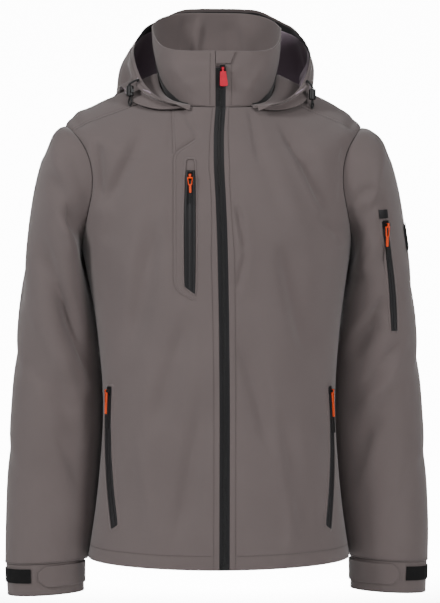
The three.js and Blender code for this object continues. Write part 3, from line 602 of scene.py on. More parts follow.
def wall(name, points, thick, rims=None, closed=False, turn=1, lift=0.0, inside=0):
    """A closed sheet of cloth on a grid of outer points, its rims rounded off.

    rims gives, for an edge, how far in it starts to turn and how deep its outer side drops. inside is
    the material of its inner side.
    """
    normals = grid_normals(points, closed, turn)
    rows, columns = points.shape[:2]
    drop, rise = np.zeros((rows, columns)), np.zeros((rows, columns))
    for edge, (reach, deep) in (rims or {}).items():
        t = np.clip(1 - far_from(points, *EDGES[edge]) / reach, 0, 1)
        turned = 1 - np.sqrt(1 - t * t)
        drop = np.maximum(drop, deep * turned)
        rise = np.maximum(rise, (thick - deep) * turned)
    outer = points + normals * (lift - drop)[..., None]
    inner = points + normals * (lift - thick + rise)[..., None]
    ring, skin = grid_faces(rows, columns, closed)
    under = skin[:, ::-1] + rows * columns
    sides = [(ring[0, 1:], ring[0, :-1]), (ring[-1, :-1], ring[-1, 1:])]
    if not closed:
        sides += [(ring[:-1, 0], ring[1:, 0]), (ring[1:, -1], ring[:-1, -1])]
    rim = [np.stack([p, q, q + rows * columns, p + rows * columns], -1) for p, q in sides]
    faces = np.concatenate([skin, under, *rim])
    if turn < 0:
        faces = faces[:, ::-1]
    along = far_from(points, 1)
    middle = columns // 2
    uv = np.stack([along - along[:, middle : middle + 1], far_from(points, 0)], -1).reshape(-1, 2)
    vertices = np.concatenate([outer.reshape(-1, 3), inner.reshape(-1, 3)])
    made = new_mesh(name, vertices, faces, np.concatenate([uv, uv]))
    looks = np.zeros(len(faces), np.int32)
    looks[len(skin) : 2 * len(skin)] = inside
    made.data.polygons.foreach_set("material_index", looks)
    return made


NEAR_EDGE = (0.0, 0.3, 0.8, 1.5, 2.5)  # mm


def shares(width, pitch, low=True, high=True):
    """Shares of a width at a pitch, closer together beside its edges."""
    near = np.array(NEAR_EDGE) / width
    start = near if low else near[:1]
    end = 1 - (near if high else near[:1])[::-1]
    middle = np.linspace(start[-1], end[0], max(2, round(width / pitch)))
    return np.concatenate([start[:-1], middle, end[1:]])


def turns_round(count):
    return np.linspace(0, 2 * math.pi, count + 1)[:-1]


def eased(start, stop, count):
    return lerp(start, stop, (1 - np.cos(np.linspace(0, math.pi, count + 1))) / 2)


# Materials
class Look:
    """A material, its nodes made and linked in one line each."""

    def __init__(self, name):
        self.material = bpy.data.materials.new(name)
        self.material.use_nodes = True
        self.tree = self.material.node_tree
        self.shader = self.tree.nodes["Principled BSDF"]

    def node(self, kind, inputs, **settings):
        made = self.tree.nodes.new("ShaderNode" + kind)
        for name, value in settings.items():
            setattr(made, name, value)
        self.set(made, inputs)
        return made

    def set(self, node, inputs):
        for name, value in inputs.items():
            if isinstance(value, bpy.types.NodeSocket):
                self.tree.links.new(value, node.inputs[name])
            else:
                node.inputs[name].default_value = value

    def math(self, kind, a, b):
        return self.node("Math", {0: a, 1: b}, operation=kind).outputs[0]


def linear(*levels):
    """A colour given in screen levels."""
    return tuple(((level / 255 + 0.055) / 1.055) ** 2.4 for level in levels) + (1,)


WAVE = 0.31416  # half a wave texture's period at scale 1
STAIN = 0.06  # how uneven the colour of cloth is


def woven(name, colour, pitch=0.7, relief=0.12, sheen=0.25, rough=0.8, pucker=0.25):
    """Cloth: a plain weave, a little unevenness in colour, and soft puckers."""
    look = Look(name)
    where = look.node("TexCoord", {})
    threads = []
    for direction in "XY":
        wave = look.node("TexWave", {"Vector": where.outputs["UV"], "Scale": WAVE / (pitch * MM)})
        wave.bands_direction = direction
        threads.append(wave.outputs["Fac"])
    weave = look.math("MULTIPLY", *threads)
    at = {"Vector": where.outputs["Object"]}
    broad = look.node("TexNoise", {**at, "Scale": 9, "Detail": 3, "Roughness": 0.6})
    fine = look.node("TexNoise", {**at, "Scale": 1400, "Detail": 2})
    soft = look.node("TexNoise", {**at, "Scale": 45, "Detail": 4, "Roughness": 0.55})
    fleck = look.math("MULTIPLY", fine.outputs["Fac"], 0.5)
    mixed = look.math("ADD", broad.outputs["Fac"], fleck)
    low = tuple(c * (1 - STAIN) for c in colour[:3]) + (1,)
    high = tuple(c * (1 + STAIN) for c in colour[:3]) + (1,)
    ramp = look.node("ValToRGB", {"Fac": mixed})
    ramp.color_ramp.elements[0].position, ramp.color_ramp.elements[1].position = 0.45, 1.05
    ramp.color_ramp.elements[0].color, ramp.color_ramp.elements[1].color = low, high
    bump = look.node("Bump", {"Height": soft.outputs["Fac"], "Strength": pucker, "Distance": 0.0012})
    cloth_bump = look.node(
        "Bump", {"Height": weave, "Strength": relief, "Distance": 0.0002, "Normal": bump.outputs["Normal"]}
    )
    look.set(
        look.shader,
        {
            "Base Color": ramp.outputs["Color"],
            "Roughness": rough,
            "Sheen Weight": sheen,
            "Sheen Roughness": 0.5,
            "Specular IOR Level": 0.3,
            "Normal": cloth_bump.outputs["Normal"],
        },
    )
    return look.material


def moulded(name, colour, rough, grain=0.1, metallic=0.0):
    """Plastic or coated metal with a fine grain and slightly uneven gloss."""
    look = Look(name)
    where = look.node("TexCoord", {})
    noise = look.node("TexNoise", {"Vector": where.outputs["Object"], "Scale": 900, "Detail": 3})
    wear = look.node("TexNoise", {"Vector": where.outputs["Object"], "Scale": 160, "Detail": 4})
    worn = {"Value": wear.outputs["Fac"], "To Min": rough - 0.08, "To Max": rough + 0.1}
    gloss = look.node("MapRange", worn)
    ramp = look.node("ValToRGB", {"Fac": wear.outputs["Fac"]})
    ramp.color_ramp.elements[0].color = tuple(c * 0.85 for c in colour[:3]) + (1,)
    ramp.color_ramp.elements[1].color = tuple(min(1, c * 1.15) for c in colour[:3]) + (1,)
    bump = look.node("Bump", {"Height": noise.outputs["Fac"], "Strength": grain, "Distance": 0.0001})
    look.set(
        look.shader,
        {
            "Base Color": ramp.outputs["Color"],
            "Roughness": gloss.outputs["Result"],
            "Metallic": metallic,
            "Normal": bump.outputs["Normal"],
        },
    )
    return look.material


SHELL_LOOK = woven("softshell", linear(97, 87, 86))
FLEECE = woven("fleece_back", linear(62, 56, 57), pitch=1.6, relief=0.35, sheen=0.6, rough=0.95)
LINING_SHADE = linear(150, 134, 146)  # light, because it lies deep in the hood's own shadow
LINING = woven("lining", LINING_SHADE, pitch=0.4, relief=0.06, sheen=0.35, rough=0.55, pucker=0.6)
FACING = woven("facing", linear(16, 15, 16), pitch=0.5, relief=0.1, rough=0.7)
TAPE = woven("zip_tape", linear(23, 22, 24), pitch=0.8, relief=0.15, sheen=0.05, rough=0.5, pucker=0.05)
THREAD = woven("thread", linear(72, 64, 62), pitch=0.3, relief=0.2, pucker=0)
HOOKS = woven("hook_tape", linear(6, 5, 6), pitch=1.3, relief=0.9, sheen=0.0, rough=0.85)
CORD_LOOK = woven("braid", linear(14, 14, 15), pitch=0.9, relief=0.6, rough=0.7, pucker=0)
TEETH = moulded("zip_teeth", linear(10, 10, 11), rough=0.38)
PLASTIC = moulded("black_plastic", linear(11, 11, 12), rough=0.45)
METAL = moulded("black_metal", linear(20, 20, 22), rough=0.35, metallic=0.4)
ORANGE = moulded("orange_pull", linear(232, 74, 14), rough=0.35, grain=0.05)
RED = moulded("red_pull", linear(196, 6, 44), rough=0.45, grain=0.05)


def add_piece(made, slot, *looks, nodes=(), rides="garment"):
    """Sets a piece on its body in the place of its nodes, with its finish."""
    if nodes:
        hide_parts(*nodes)
    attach(made, rides)
    for look in looks:
        made.data.materials.append(look)
    return made


# Small things in rows
def template(size, bevel, segments=2):
    """A rounded box: its points and triangles."""
    shape = bmesh.new()
    bmesh.ops.create_cube(shape, size=1)
    bmesh.ops.scale(shape, vec=size, verts=shape.verts)
    bmesh.ops.bevel(shape, geom=shape.edges, offset=bevel, segments=segments, affect="EDGES", profile=0.5)
    bmesh.ops.triangulate(shape, faces=shape.faces)
    points = np.array([vertex.co for vertex in shape.verts])
    faces = np.array([[vertex.index for vertex in face.verts] for face in shape.faces])
    shape.free()
    return points, faces


def stitch_template(long, radius):
    """A stitch: a short thread whose ends dip into the cloth."""
    stations = np.array([(-0.5, 0.2, -0.9), (-0.3, 0.95, 0.2), (0.3, 0.95, 0.2), (0.5, 0.2, -0.9)])
    turns = (np.arange(4) + 0.5) * math.pi / 2
    rings = [
        point(place * long, np.cos(turns) * wide * radius, (np.sin(turns) * wide + high) * radius)
        for place, wide, high in stations
    ]
    quads = grid_faces(4, 4, closed=True)[1]
    return np.concatenate(rings), np.concatenate([quads[:, [0, 1, 2]], quads[:, [0, 2, 3]]])[:, ::-1]


def repeated(shape, origins, along, out):
    """Copies of a template, its x along and its z out of the cloth."""
    points, faces = shape
    across = unit(np.cross(out, along))
    axes = (along, across, out)
    copies = origins[:, None] + sum(points[:, k, None] * axis[:, None] for k, axis in enumerate(axes))
    offsets = np.arange(len(origins))[:, None, None] * len(points)
    return copies.reshape(-1, 3), (faces[None] + offsets).reshape(-1, 3)


def run_of(line):
    """How far along a line each of its points is."""
    return np.concatenate([[0], np.cumsum(np.linalg.norm(np.diff(line, axis=0), axis=1))])


def spaced(line, normals, pitch, start=0.0):
    """Places along a line at a pitch, with their directions and normals."""
    far = run_of(line)
    count = max(1, int((far[-1] - start) / pitch))
    at = start + (np.arange(count) + 0.5) * pitch

    def pick(values, where):
        return np.stack([np.interp(where, far, values[:, k]) for k in range(3)], -1)

    along = unit(pick(line, at + 0.5) - pick(line, at - 0.5))
    return pick(line, at), along, unit(pick(normals, at))


class Rows:
    """Many small shapes gathered into one mesh."""

    def __init__(self):
        self.points, self.faces, self.count = [], [], 0

    def add(self, shape, origins, along, out):
        points, faces = repeated(shape, origins, along, out)
        self.points.append(points)
        self.faces.append(faces + self.count)
        self.count += len(points)

    def mesh(self, name):
        points = np.concatenate(self.points)
        return new_mesh(name, points, np.concatenate(self.faces), points[:, [0, 2]])


STITCH = stitch_template(2.7, 0.32)
STITCH_PITCH = 3.4
STITCH_LIFT = 0.25
seams = Rows()


def sew(surface, u, v, turn=1):
    """A row of stitches along a line on a surface."""
    u, v = np.broadcast_arrays(np.asarray(u, float), np.asarray(v, float))
    normals = normal_of(surface, u, v, turn)
    line = surface(u, v) + normals * STITCH_LIFT
    seams.add(STITCH, *spaced(line, normals, STITCH_PITCH))


# The panels, sleeves, cuffs, collar and hood
PITCH = 3.6  # mm between the points of a panel
FRONT_WIDE = 200  # about how wide a front is, in mm
BACK_WIDE = 430
levels = np.concatenate(
    [
        shares(450, PITCH, high=False) * ARMPIT,
        eased(ARMPIT, SHOULDER, 64)[1:],
        SHOULDER + shares(150, PITCH, low=False)[1:] * (NECK - SHOULDER),
    ]
)
SEAM_RIM = (2.2, 0.8)  # how far in a seam's edge starts to turn, and how deep it goes
OPEN_RIM = (1.2, 1.0)  # the same at a hem
PANEL_RIMS = {"left": SEAM_RIM, "right": SEAM_RIM, "bottom": OPEN_RIM, "top": SEAM_RIM}


def gap_angle(place, gap):
    return gap / ring_radius(row_at(BODY, place), 0.0)


def front_angle(share, place):
    edge = panel_edge(place, 1) - gap_angle(place, SEAM / 2)
    return lerp(gap_angle(place, ZIP_HALF + SEAM), edge, share)


def back_angle(share, place):
    edge = panel_edge(place, -1) + gap_angle(place, SEAM / 2)
    return lerp(edge, 2 * math.pi - edge, share)


def front_panel(side):
    """A front, its fine creases dying out towards the side seam and armhole."""

    def panel(share, place):
        phi = side * front_angle(share, place)
        return lerp(body(phi, place), draped(phi, place), smooth(1 - share, 0, 0.07)[..., None])

    return panel


def back_panel(share, place):
    phi = back_angle(share, place)
    inner = smooth(share, 0, 0.035) * smooth(1 - share, 0, 0.035)
    return lerp(body(phi, place), draped(phi, place), inner[..., None])


HEM_STITCH = 0.27  # rows of BODY
ZIP_STITCH = 8.0  # mm from the panel's edge
SHOULDER_STITCH = 1 - 4 / 150  # share of the front's width


def add_panels():
    for name, side in SIDES.items():
        panel = front_panel(side)
        points = panel(*np.meshgrid(shares(FRONT_WIDE, 2.4), levels))
        rims = {**PANEL_RIMS, "left": OPEN_RIM}
        made = wall("cloth_front_" + name, points, SHELL, rims, turn=side, inside=1)
        add_piece(made, "shell", SHELL_LOOK, FLEECE, nodes=["front_" + name])
        sew(panel, ZIP_STITCH / FRONT_WIDE, np.linspace(0.03, NECK - 0.05, 300), side)
        sew(panel, np.linspace(0.05, 0.99, 120), HEM_STITCH, side)
        sew(panel, SHOULDER_STITCH, np.linspace(SHOULDER + 0.1, NECK - 0.1, 80), side)
    points = back_panel(*np.meshgrid(shares(BACK_WIDE, PITCH), levels))
    made = wall("cloth_back", points, SHELL, PANEL_RIMS, inside=1)
    add_piece(made, "shell", SHELL_LOOK, FLEECE, nodes=["back"])
    sew(back_panel, np.linspace(0.01, 0.99, 240), HEM_STITCH)


def add_arm_piece(kind, name, points, end_rim, skin, stitched):
    """A piece that goes round the arm, with a row of stitches round it."""
    side = SIDES[name]
    piece = kind + "_" + name
    rims = {"bottom": SEAM_RIM, "top": end_rim}
    made = wall("cloth_" + piece, points, SHELL, rims, closed=True, turn=side, inside=1)
    add_piece(made, "shell", SHELL_LOOK, FLEECE, nodes=[piece])
    sew(skin, np.linspace(0, 2 * math.pi, 200), stitched, side)


SMOOTHINGS = 12  # rounds that even out the sleeve below its head


def add_sleeves():
    head = shares(120, PITCH, high=False) * 2
    place = np.concatenate([head, 2 + shares(540, PITCH, low=False)[1:] * (SLEEVE_END - 2)])
    evened = 0.5 * (smooth(place, 0.7, 1.1) * smooth(-place, -2.4, -1.9))[1:-1, None, None]
    for name, skin in sleeves.items():
        points = skin(*np.meshgrid(turns_round(132), place))
        for _ in range(SMOOTHINGS):
            points[1:-1] = lerp(points[1:-1], (points[:-2] + points[2:]) / 2, evened)
        add_arm_piece("sleeve", name, points, SEAM_RIM, skin, SLEEVE_END - 0.06)


def add_cuffs():
    for name, side in SIDES.items():
        skin = cuff_skin(side)
        points = skin(*np.meshgrid(turns_round(120), shares(46, 2) * CUFF_END))
        add_arm_piece("cuff", name, points, OPEN_RIM, skin, CUFF_END - 0.16)


def cuff_skin(side):
    """The cuff, a little gathered towards its open end."""

    def skin(theta, place):
        p = tube_form(CUFF, side, theta, place)
        n = normal_of(lambda a, b: tube_form(CUFF, side, a, b), theta, place, side)
        under = smooth(-np.sin(theta), -0.2, 0.6)
        wave = np.sin(11 * theta + 0.8) + 0.5 * np.sin(17 * theta + 2.1)
        return p + n * (0.55 * wave * smooth(place, 0.2, 1.8) * (0.25 + under))[..., None]

    return skin


def add_collar():
    first = gap_angle(NECK, ZIP_HALF + SEAM)
    grid = np.meshgrid(lerp(first, 2 * math.pi - first, shares(560, 2.8)), shares(90, 2.4) * COLLAR_TOP)
    rims = {"left": OPEN_RIM, "right": OPEN_RIM, "bottom": SEAM_RIM, "top": OPEN_RIM}
    made = wall("cloth_collar", collar(*grid), SHELL, rims)
    add_piece(made, "shell", SHELL_LOOK, nodes=["collar"])
    for side in SIDES.values():
        edge = side * gap_angle(NECK, ZIP_HALF + SEAM + ZIP_STITCH)
        sew(collar, edge, np.linspace(0.08, 1.9, 60))
    sew(collar, lerp(first, 2 * math.pi - first, np.linspace(0.02, 0.98, 300)), 0.07)


hood_draped = with_folds(hood_form, HOOD_CREASES)


def inside_hood(drop):
    """The hood's surface, moved in by a drop."""

    def surface(angle, share):
        n = normal_of(hood_draped, angle, share)
        return hood_draped(angle, share) - n * np.asarray(drop)[..., None]

    return surface


def lining_creases(angle, share):
    """How far the lining hangs away from the shell, in soft uneven creases down from its edge."""
    phase = angle * 0.42 + 1.7 * np.sin(angle * 0.043) + 0.9 * np.sin(share * 2.4 + angle * 0.09)
    deep = 0.7 + 0.5 * np.sin(angle * 0.071 + 0.6)
    return 4.0 * deep * (0.5 + 0.5 * np.sin(phase)) ** 2 * np.clip(np.sin(math.pi * share), 0, 1) ** 0.7


HOOD_SEAMS = (146, 214)  # degrees
LININGS = {  # first angle, first and last share of the hood
    "hood_lining_outer": (56, 0.6, 0.97),
    "hood_lining_inner": (110, 0.08, 0.65),
}
FACING_END = 0.992


def add_hood():
    angle = lerp(HOOD_FIRST, 360 - HOOD_FIRST, shares(900, 4))
    low = shares(150, 5, high=False) * UNDER
    high = UNDER + shares(190, 3.2, low=False)[1:] * (1 - UNDER)
    points = hood_draped(*np.meshgrid(angle, np.concatenate([low, high])))
    made = wall("cloth_hood", points, HOOD_SHELL, all_round(1.0, 0.7))
    add_piece(made, "shell", SHELL_LOOK, nodes=["hood"])
    sew(hood_draped, np.linspace(HOOD_FIRST + 2, 358 - HOOD_FIRST, 500), 0.94)
    for seam in HOOD_SEAMS:
        sew(hood_draped, seam, np.linspace(0.6, 0.93, 160))
    for node, (first, start, end) in LININGS.items():
        spread, across = np.meshgrid(lerp(first, 360 - first, shares(700, 3)), shares(90, 3.2))
        drop = HOOD_SHELL + 1.0 + lining_creases(spread, across)
        under = inside_hood(drop)(spread, lerp(start, end, across))
        add_piece(wall("cloth_" + node, under, HOOD_LINING), "lining", LINING, nodes=[node])
    spread, across = np.meshgrid(lerp(58, 302, shares(700, 4)), shares(50, 3))
    start = lerp(0.955, 0.84, smooth(180 - np.abs(180 - spread), 78, 128))
    under = inside_hood(HOOD_SHELL + 0.25)(spread, lerp(start, FACING_END, across))
    rims = {"bottom": (1, 0.35), "top": (1, 0.35)}
    add_piece(wall("hood_facing", under, 0.7, rims), "lining", FACING)


# The front zip
def front_line(x, s):
    x, s = np.broadcast_arrays(np.asarray(x, float), np.asarray(s, float))
    below = s <= NECK
    place = np.where(below, s, s - NECK)
    radius = np.where(below, ring_radius(row_at(BODY, place), 0.0), ring_radius(row_at(COLLAR, place), 0.0))
    phi = np.arcsin(x / radius)
    return np.where(below[..., None], draped(phi, place), collar(phi, place))


ZIP_TOP = NECK + 1.32
TOOTH_PITCH = 2.6
TAPE_DROP = 0.9
TAPE_ACROSS = np.array([0.1, 1.6, 3.2, 5, 7, ZIP_HALF + 1.5])


def add_front_zip():
    s = np.linspace(0, ZIP_TOP, 260)
    for name, side in SIDES.items():
        points = front_line(*np.meshgrid(TAPE_ACROSS * side, s))
        tape = wall("front_tape_" + name, points, 0.8, turn=side, lift=-TAPE_DROP)
        add_piece(tape, "zip_tape", TAPE, nodes=["front_zip"])
    tooth = template((1.5, 3.3, 1.9), 0.35)
    teeth = Rows()
    middle = front_line(0, s)
    out = normal_of(front_line, np.zeros(260), s)
    for side, start in ((-1, 0), (1, TOOTH_PITCH / 2)):
        origins, along, normals = spaced(middle, out, TOOTH_PITCH, start)
        across = unit(np.cross(normals, along))
        teeth.add(tooth, origins + across * side * 0.85 - normals * 0.95, along, normals)
    foot = template((9, 8.5, 2.6), 0.8, 3)
    at, up = middle[2:3], out[2:3]
    teeth.add(foot, at - up * 0.7, unit(middle[3:4] - at), up)
    add_piece(teeth.mesh("front_teeth"), "zip_tape", TEETH)


# Things laid on a panel, found by x and z
def facing(surface, form, guess):
    """Finds where a form passes places in x and z, and gives the surface's points and normals there."""

    def find(x, z):
        x, z = np.broadcast_arrays(np.asarray(x, float), np.asarray(z, float))
        u, v = guess(x, z)
        e = 1e-3
        for _ in range(9):
            p = form(u, v)
            pu = (form(u + e, v) - p) / e
            pv = (form(u, v + e) - p) / e
            det = pu[..., 0] * pv[..., 2] - pv[..., 0] * pu[..., 2]
            dx, dz = x - p[..., 0], z - p[..., 2]
            u = u + np.clip((dx * pv[..., 2] - dz * pv[..., 0]) / det, -0.15, 0.15)
            v = v + np.clip((dz * pu[..., 0] - dx * pu[..., 2]) / det, -0.5, 0.5)
        return surface(u, v), normal_of(surface, u, v)

    return find


def front_guess(x, z):
    return np.arcsin(np.clip(x / 175, -0.97, 0.97)), np.interp(z, BODY["z_front"], np.arange(NECK + 1.0))


def sleeve_guess(x, z):
    return np.full(x.shape, 60 * DEG), np.full(x.shape, 4.0)


def left_sleeve_form(theta, place):
    return sleeve_form(1, theta, place)


on_front = facing(draped, body_form, front_guess)
on_left_sleeve = facing(sleeves["left"], left_sleeve_form, sleeve_guess)

# What each pocket lies on, how far over it, the slant of its low end and the arch of its welt, in mm
POCKETS = {
    "chest": (on_front, 0.15, 5.5, 15),
    "hand_right": (on_front, 0.15, -3, 0),
    "hand_left": (on_front, 0.15, 3, 0),
    "sleeve": (on_left_sleeve, 0.3, 0, 0),
}
STRIPS = {  # x, z and half width, from the low end up
    "chest": [(-46, -277, 7.5), (-46, -222, 8), (-46, -166, 8), (-45, -111, 6.5)],
    "hand_right": [(-148.5, -608, 5), (-155, -543, 4.6), (-157.5, -478, 4), (-155, -412, 3)],
    "hand_left": [(151, -610, 4.8), (157.5, -544, 4), (159, -478, 3.4), (155, -412, 3)],
    "sleeve": [(251, -334, 4.6), (248, -282, 4.6), (241, -230, 4.4), (232, -178, 4)],
}
STRIP_ACROSS = np.array([-1, -0.96, -0.55, -0.12, -0.04, 0, 0.04, 0.12, 0.55, 0.96, 1])
STRIP_HEIGHT = np.array([-0.5, 0, 0.1, 0, -0.35, -0.5, -0.35, 0, 0.1, 0, -0.5])
WELT = [(0.1, 0.2), (0.15, 1.2), (0.5, 1.5), (1.1, 1.5), (1.9, 1.1), (2.8, 0.35), (3.4, -0.2)]  # out and up
WELT_CORNER = 8


def strip_line(rows, share):
    """A strip's row at a share of its length, and the direction along it."""
    line = table("x z half", rows)
    last = len(rows) - 1
    ahead = row_at(line, np.minimum(share + 0.01, 1) * last)
    behind = row_at(line, np.maximum(share - 0.01, 0) * last)
    tangent = unit(np.stack([ahead["x"] - behind["x"], ahead["z"] - behind["z"]], -1))
    return row_at(line, share * last), tangent


def strip_place(rows, slant, across, along, long):
    """x and z of a place on a strip: mm across from its middle, and mm along from its low end."""
    here, tangent = strip_line(rows, np.clip(along / long, 0, 1))
    past = along - np.clip(along, 0, long)
    low = slant * across / here["half"] * np.clip(1 - along / 30, 0, 2)
    x = here["x"] + across * tangent[..., 1] + (past - low) * tangent[..., 0]
    z = here["z"] - across * tangent[..., 0] + (past - low) * tangent[..., 1]
    return x, z


def outline(rows, grow, long, arch):
    """A rounded outline round a strip, grown by grow and at its top by arch: mm across and along."""
    turn = turns_round(150)
    high, low = long + grow + arch, -grow
    power = 2 / WELT_CORNER
    c, s = np.cos(turn), np.sin(turn)
    along = (high + low) / 2 + (high - low) / 2 * np.sign(s) * np.abs(s) ** power
    half = strip_line(rows, np.clip(along / long, 0, 1))[0]["half"] + grow
    return half * np.sign(c) * np.abs(c) ** power, along


def add_pockets():
    for name, (skin, over, slant, arch) in POCKETS.items():
        rows = STRIPS[name]
        long = math.hypot(rows[-1][0] - rows[0][0], rows[-1][1] - rows[0][1])
        across, along = np.meshgrid(STRIP_ACROSS, shares(long, 2.5) * long)
        halves = strip_line(rows, np.clip(along / long, 0, 1))[0]["half"]
        p, n = skin(*strip_place(rows, slant, across * halves, along, long))
        p = p + n * (LIFT + over + TRIM + STRIP_HEIGHT)[..., None]
        strip = wall(name + "_strip", p, TRIM, all_round(1, 0.45))
        add_piece(strip, "zip_tape", TAPE, nodes=[name + "_zip"])
        welt = []
        for grow, up in WELT:
            p, n = skin(*strip_place(rows, slant, *outline(rows, grow, long, arch), long))
            welt.append(p + n * up)
        add_piece(ribbon(name + "_welt", welt, closed=True, turn=-1), "shell", SHELL_LOOK)


LAP = ((-1.6, -0.4), (-1.2, 0.35), (-0.4, 0.55), (0.6, 0.45), (1.8, -0.3))  # mm across and up
CHEST_SEAMS = [
    [(-67, -20), (-66.5, -50), (-66, -88)],
    [(-34, -66), (-46, -74), (-62, -84), (-66, -92), (-66, -180), (-66, -268), (-62, -276), (-36, -291)],
]


def evened(values, reach=4):
    """A line of values, each the mean of those within reach of it."""
    count = 2 * reach + 1
    return np.convolve(np.pad(values, reach, "edge"), np.ones(count) / count, "valid")


def add_chest_seams():
    """The lapped edges of the chest pocket's panel, sewn down beside the edge."""
    for number, route in enumerate(CHEST_SEAMS):
        route = np.array(route, float)
        far = run_of(route)
        at = np.linspace(0, far[-1], 140)
        x, z = (evened(np.interp(at, far, column)) for column in route.T)
        along = unit(np.stack([np.gradient(x), np.gradient(z)], -1))

        def beside(off, up):
            p, n = on_front(x + off * along[:, 1], z - off * along[:, 0])
            return p + n * up, n

        lap = ribbon("chest_seam_%d" % number, [beside(off, up)[0] for off, up in LAP])
        add_piece(lap, "shell", SHELL_LOOK)
        seams.add(STITCH, *spaced(*beside(3.2, 0.2), STITCH_PITCH))


TRIM_LIFT = 0.9
HOOK_ANGLES = (-15, 70)  # degrees round the cuff
STRAP_ANGLES = (81, 210)
STRAP_MIDDLE, STRAP_HALF = 0.81, 0.59  # rows of CUFF


def add_cuff_trim():
    """The hook patch and the pointed strap that closes on it."""
    for name, side in SIDES.items():
        skin = cuff_skin(side)
        theta = lerp(*HOOK_ANGLES, shares(68, 2.5)) * DEG
        patch = skin(*np.meshgrid(theta, lerp(0.35, 1.15, shares(20, 2))))
        rims = all_round(0.8, 0.45)
        made = wall("hooks_" + name, patch, TRIM, rims, turn=side, lift=TRIM_LIFT + TRIM)
        add_piece(made, "zip_tape", HOOKS, nodes=["hook_patch_" + name])
        u, v = np.meshgrid(shares(110, 2.2), shares(28, 1.8))
        half = STRAP_HALF * np.minimum(1, 0.42 + u / 0.15)
        strap = skin(lerp(*STRAP_ANGLES, u) * DEG, STRAP_MIDDLE + (v - 0.5) * 2 * half)
        rims = all_round(1.4, 0.8)
        made = wall("strap_" + name, strap, STRAP, rims, turn=side, lift=TRIM_LIFT + STRAP)
        add_piece(made, "shell", SHELL_LOOK, nodes=["cuff_strap_" + name])


def add_badge():
    grid = np.meshgrid(np.linspace(8, 32, 14) * DEG, np.linspace(3.7, 4.25, 24))
    made = wall("badge", sleeves["left"](*grid), 1.2, all_round(0.9, 0.6), lift=LIFT + 1.2)
    add_piece(made, "zip_tape", HOOKS, nodes=["sleeve_badge"])


GUARD_ROWS = (NECK + 1.44, NECK + 1.95)
GUARD_REACH = (14, 21.5)  # mm past the middle, at its low and its high edge


def add_chin_guard():
    share, up = np.meshgrid(shares(24, 1.6), shares(30, 1.8))
    guard = front_line(lerp(-ZIP_HALF + 0.5, lerp(*GUARD_REACH, up), share), lerp(*GUARD_ROWS, up))
    made = wall("guard", guard, 1.5, all_round(1.2, 0.75), lift=LIFT + 1.7)
    add_piece(made, "shell", SHELL_LOOK, nodes=["chin_guard"])


def add_hood_tape():
    """The hood's zip round the base of the collar, wider at the back."""
    angle, across = np.meshgrid(lerp(26, 334, shares(520, 3)), shares(12, 1.2))
    behind = smooth(180 - np.abs(180 - angle), 26, 70)
    place = lerp(0.1, 0.4, behind) + lerp(0.05, 0.14, smooth(behind, 0, 0.3)) * (2 * across - 1)
    rims = {"bottom": (0.8, 0.4), "top": (0.8, 0.4)}
    made = wall("hood_tape", collar(angle * DEG, place), TRIM, rims, lift=0.7 + TRIM)
    add_piece(made, "zip_tape", FACING, nodes=["hood_zip"])


# The hood's cords, each a loop through its lock
CORD = 1.2
CORD_APART = 1.6
LOOP = 4.4
LOCK_LONG = 15
EYELET = 0.93
CORDS = [  # name, angle of the eyelet, x, y, top and bottom of the loop, length in metres
    ("right", 292, -127, -59, 14, -14, 0.104),
    ("left", 68, 133, -57, 11, -16, 0.103),
]


def smooth_line(points, count):
    points = np.asarray(points, float)
    last = len(points) - 1
    at = np.linspace(0, last, count)
    i = np.minimum(at.astype(int), last - 1)
    near = [points[np.clip(i + k, 0, last)] for k in (-1, 0, 1, 2)]
    return between(*near, (at - i)[:, None])


def tube(name, line, radius, sides=12):
    """A round cord along a line, its rings carried along without twisting."""
    along = unit(np.gradient(line, axis=0))
    across = [unit(np.cross(along[0], (0.3, 1.0, 0.2)))]
    for direction in along[1:]:
        across.append(unit(across[-1] - direction * (across[-1] @ direction)))
    across = np.array(across)
    up = np.cross(along, across)
    turns = np.arange(sides) * 2 * math.pi / sides
    rings = line[:, None] + radius * (
        across[:, None] * np.cos(turns)[None, :, None] + up[:, None] * np.sin(turns)[None, :, None]
    )
    faces = grid_faces(len(line), sides, closed=True)[1]
    far = np.cumsum(np.linalg.norm(np.gradient(line, axis=0), axis=1))
    uv = np.stack(np.meshgrid(turns * radius, far), -1).reshape(-1, 2)
    return new_mesh(name, rings.reshape(-1, 3), faces, uv)


def add_cords():
    for name, angle, x, y, top, bottom, long in CORDS:
        exit_at = hood_form(np.array([angle]), np.array([EYELET]))[0]
        n = normal_of(hood_form, np.array([float(angle)]), np.array([EYELET]))[0]
        out = unit(np.array([x, y, 0.0]))
        across = np.cross((0, 0, 1), out)

        def hang(a, z):
            return np.array([x, y, z]) + across * a

        def leave(a, height):
            return exit_at + across * a + n * height

        in_lock = np.linspace(top + 3, top - LOCK_LONG - 2, 5)
        down = [leave(CORD_APART, 1), leave(CORD_APART, 4), *(hang(CORD_APART, z) for z in in_lock)]
        up = [leave(-CORD_APART, 1), leave(-CORD_APART, 4), *(hang(-CORD_APART, z) for z in in_lock)]
        low = [hang(LOOP, bottom + 5), hang(0, bottom), hang(-LOOP, bottom + 5)]
        line = smooth_line(down + low + up[::-1], 160)
        made = tube("cord_" + name, line, CORD)
        add_piece(made, "cord", CORD_LOOK, nodes=["hood_cord_" + name])
        path = line * MM
        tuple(path[0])


# Finishes of the solids that stay
KEPT = {
    "front_slider": METAL,
    "front_pull": RED,
    "sleeve_patch": TAPE,
    "cord_lock_right": PLASTIC,
    "cord_lock_left": PLASTIC,
}
for pocket in POCKETS:
    KEPT.update({pocket + "_slider": METAL, pocket + "_pull": ORANGE, pocket + "_pull_tip": PLASTIC})


def finish_kept_nodes():
    for node, look in KEPT.items():
        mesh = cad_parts[node].data
        mesh.materials.clear()
        mesh.materials.append(look)


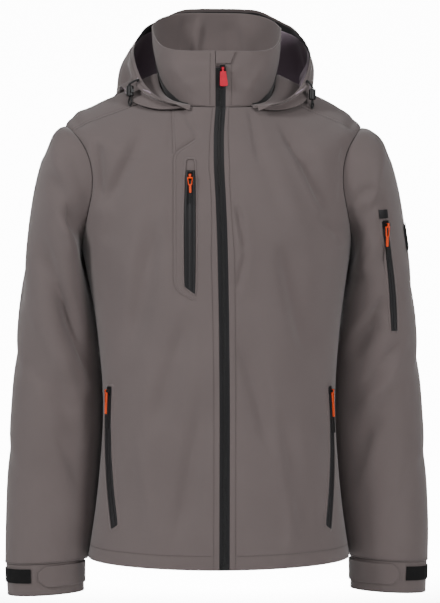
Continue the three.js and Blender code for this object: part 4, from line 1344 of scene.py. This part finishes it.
add_cords()
add_panels()
add_sleeves()
add_cuffs()
add_collar()
add_hood()
add_front_zip()
add_pockets()
add_chest_seams()
add_cuff_trim()
add_badge()
add_chin_guard()
add_hood_tape()
finish_kept_nodes()
add_piece(seams.mesh("stitches"), "shell", THREAD)


# Floor, backdrop and light
GLOW = 12.0  # painted glow: emission of the backdrop's middle, in place of lamp light on it
GLOW_MIDDLE = (0.4, 7.0, -0.3)
GLOW_REACH = (2.1, 2.9)


def add_stage():
    low, back, bend, half = -1.45, 7.0, 2.0, 9.0
    turns = np.linspace(0, math.pi / 2, 17)
    profile = [(-9.0, low)]
    profile += [(back - bend + bend * math.sin(a), low + bend * (1 - math.cos(a))) for a in turns]
    profile.append((back, 6.0))
    vertices = [(x / MM, y / MM, z / MM) for y, z in profile for x in (-half, half)]
    faces = [(2 * i, 2 * i + 1, 2 * i + 3, 2 * i + 2) for i in range(len(profile) - 1)]
    stage = new_mesh("studio_sweep", vertices, faces)
    look = Look("studio")
    where = look.node("TexCoord", {})
    away = look.node("VectorMath", {0: where.outputs["Object"], 1: GLOW_MIDDLE}, operation="DISTANCE")
    near, far = GLOW_REACH
    fading = {"Value": away.outputs["Value"], "From Min": near, "From Max": far, "To Min": GLOW, "To Max": 0}
    # Painted glow: the backdrop's middle emits light, strongest at its centre and fading out, in place of a
    # lamp on it.
    glow = look.node("MapRange", fading)
    look.set(
        look.shader,
        {
            "Base Color": (0.9, 0.9, 0.9, 1),
            "Roughness": 0.9,
            "Emission Color": (1, 1, 1, 1),
            "Emission Strength": glow.outputs["Result"],
        },
    )
    stage.data.materials.append(look.material)


LIGHTS = [  # name, place, size and power
    ("key", (-2.5, -1.7, 1.2), (0.6, 0.6), 71),
    ("fill", (1.9, -2.6, 0.5), (0.9, 1.2), 54),
    ("top", (0, -1.7, 2.4), (1.2, 1.0), 19),
]
AIM = (0, 0, -0.3)


def add_light(name, place, size, power):
    light = bpy.data.lights.new(name, "AREA")
    light.shape = "RECTANGLE"
    light.size, light.size_y = size
    light.energy = power
    holder = bpy.data.objects.new(name, light)
    bpy.context.scene.collection.objects.link(holder)
    holder.location = place
    holder.rotation_euler = (Vector(AIM) - Vector(place)).to_track_quat("-Z", "Y").to_euler()


add_stage()
for row in LIGHTS:
    add_light(*row)
world = bpy.data.worlds.new("studio")
world.use_nodes = True
world.node_tree.nodes["Background"].inputs["Color"].default_value = (1, 1, 1, 1)
world.node_tree.nodes["Background"].inputs["Strength"].default_value = 0.2
bpy.context.scene.world = world
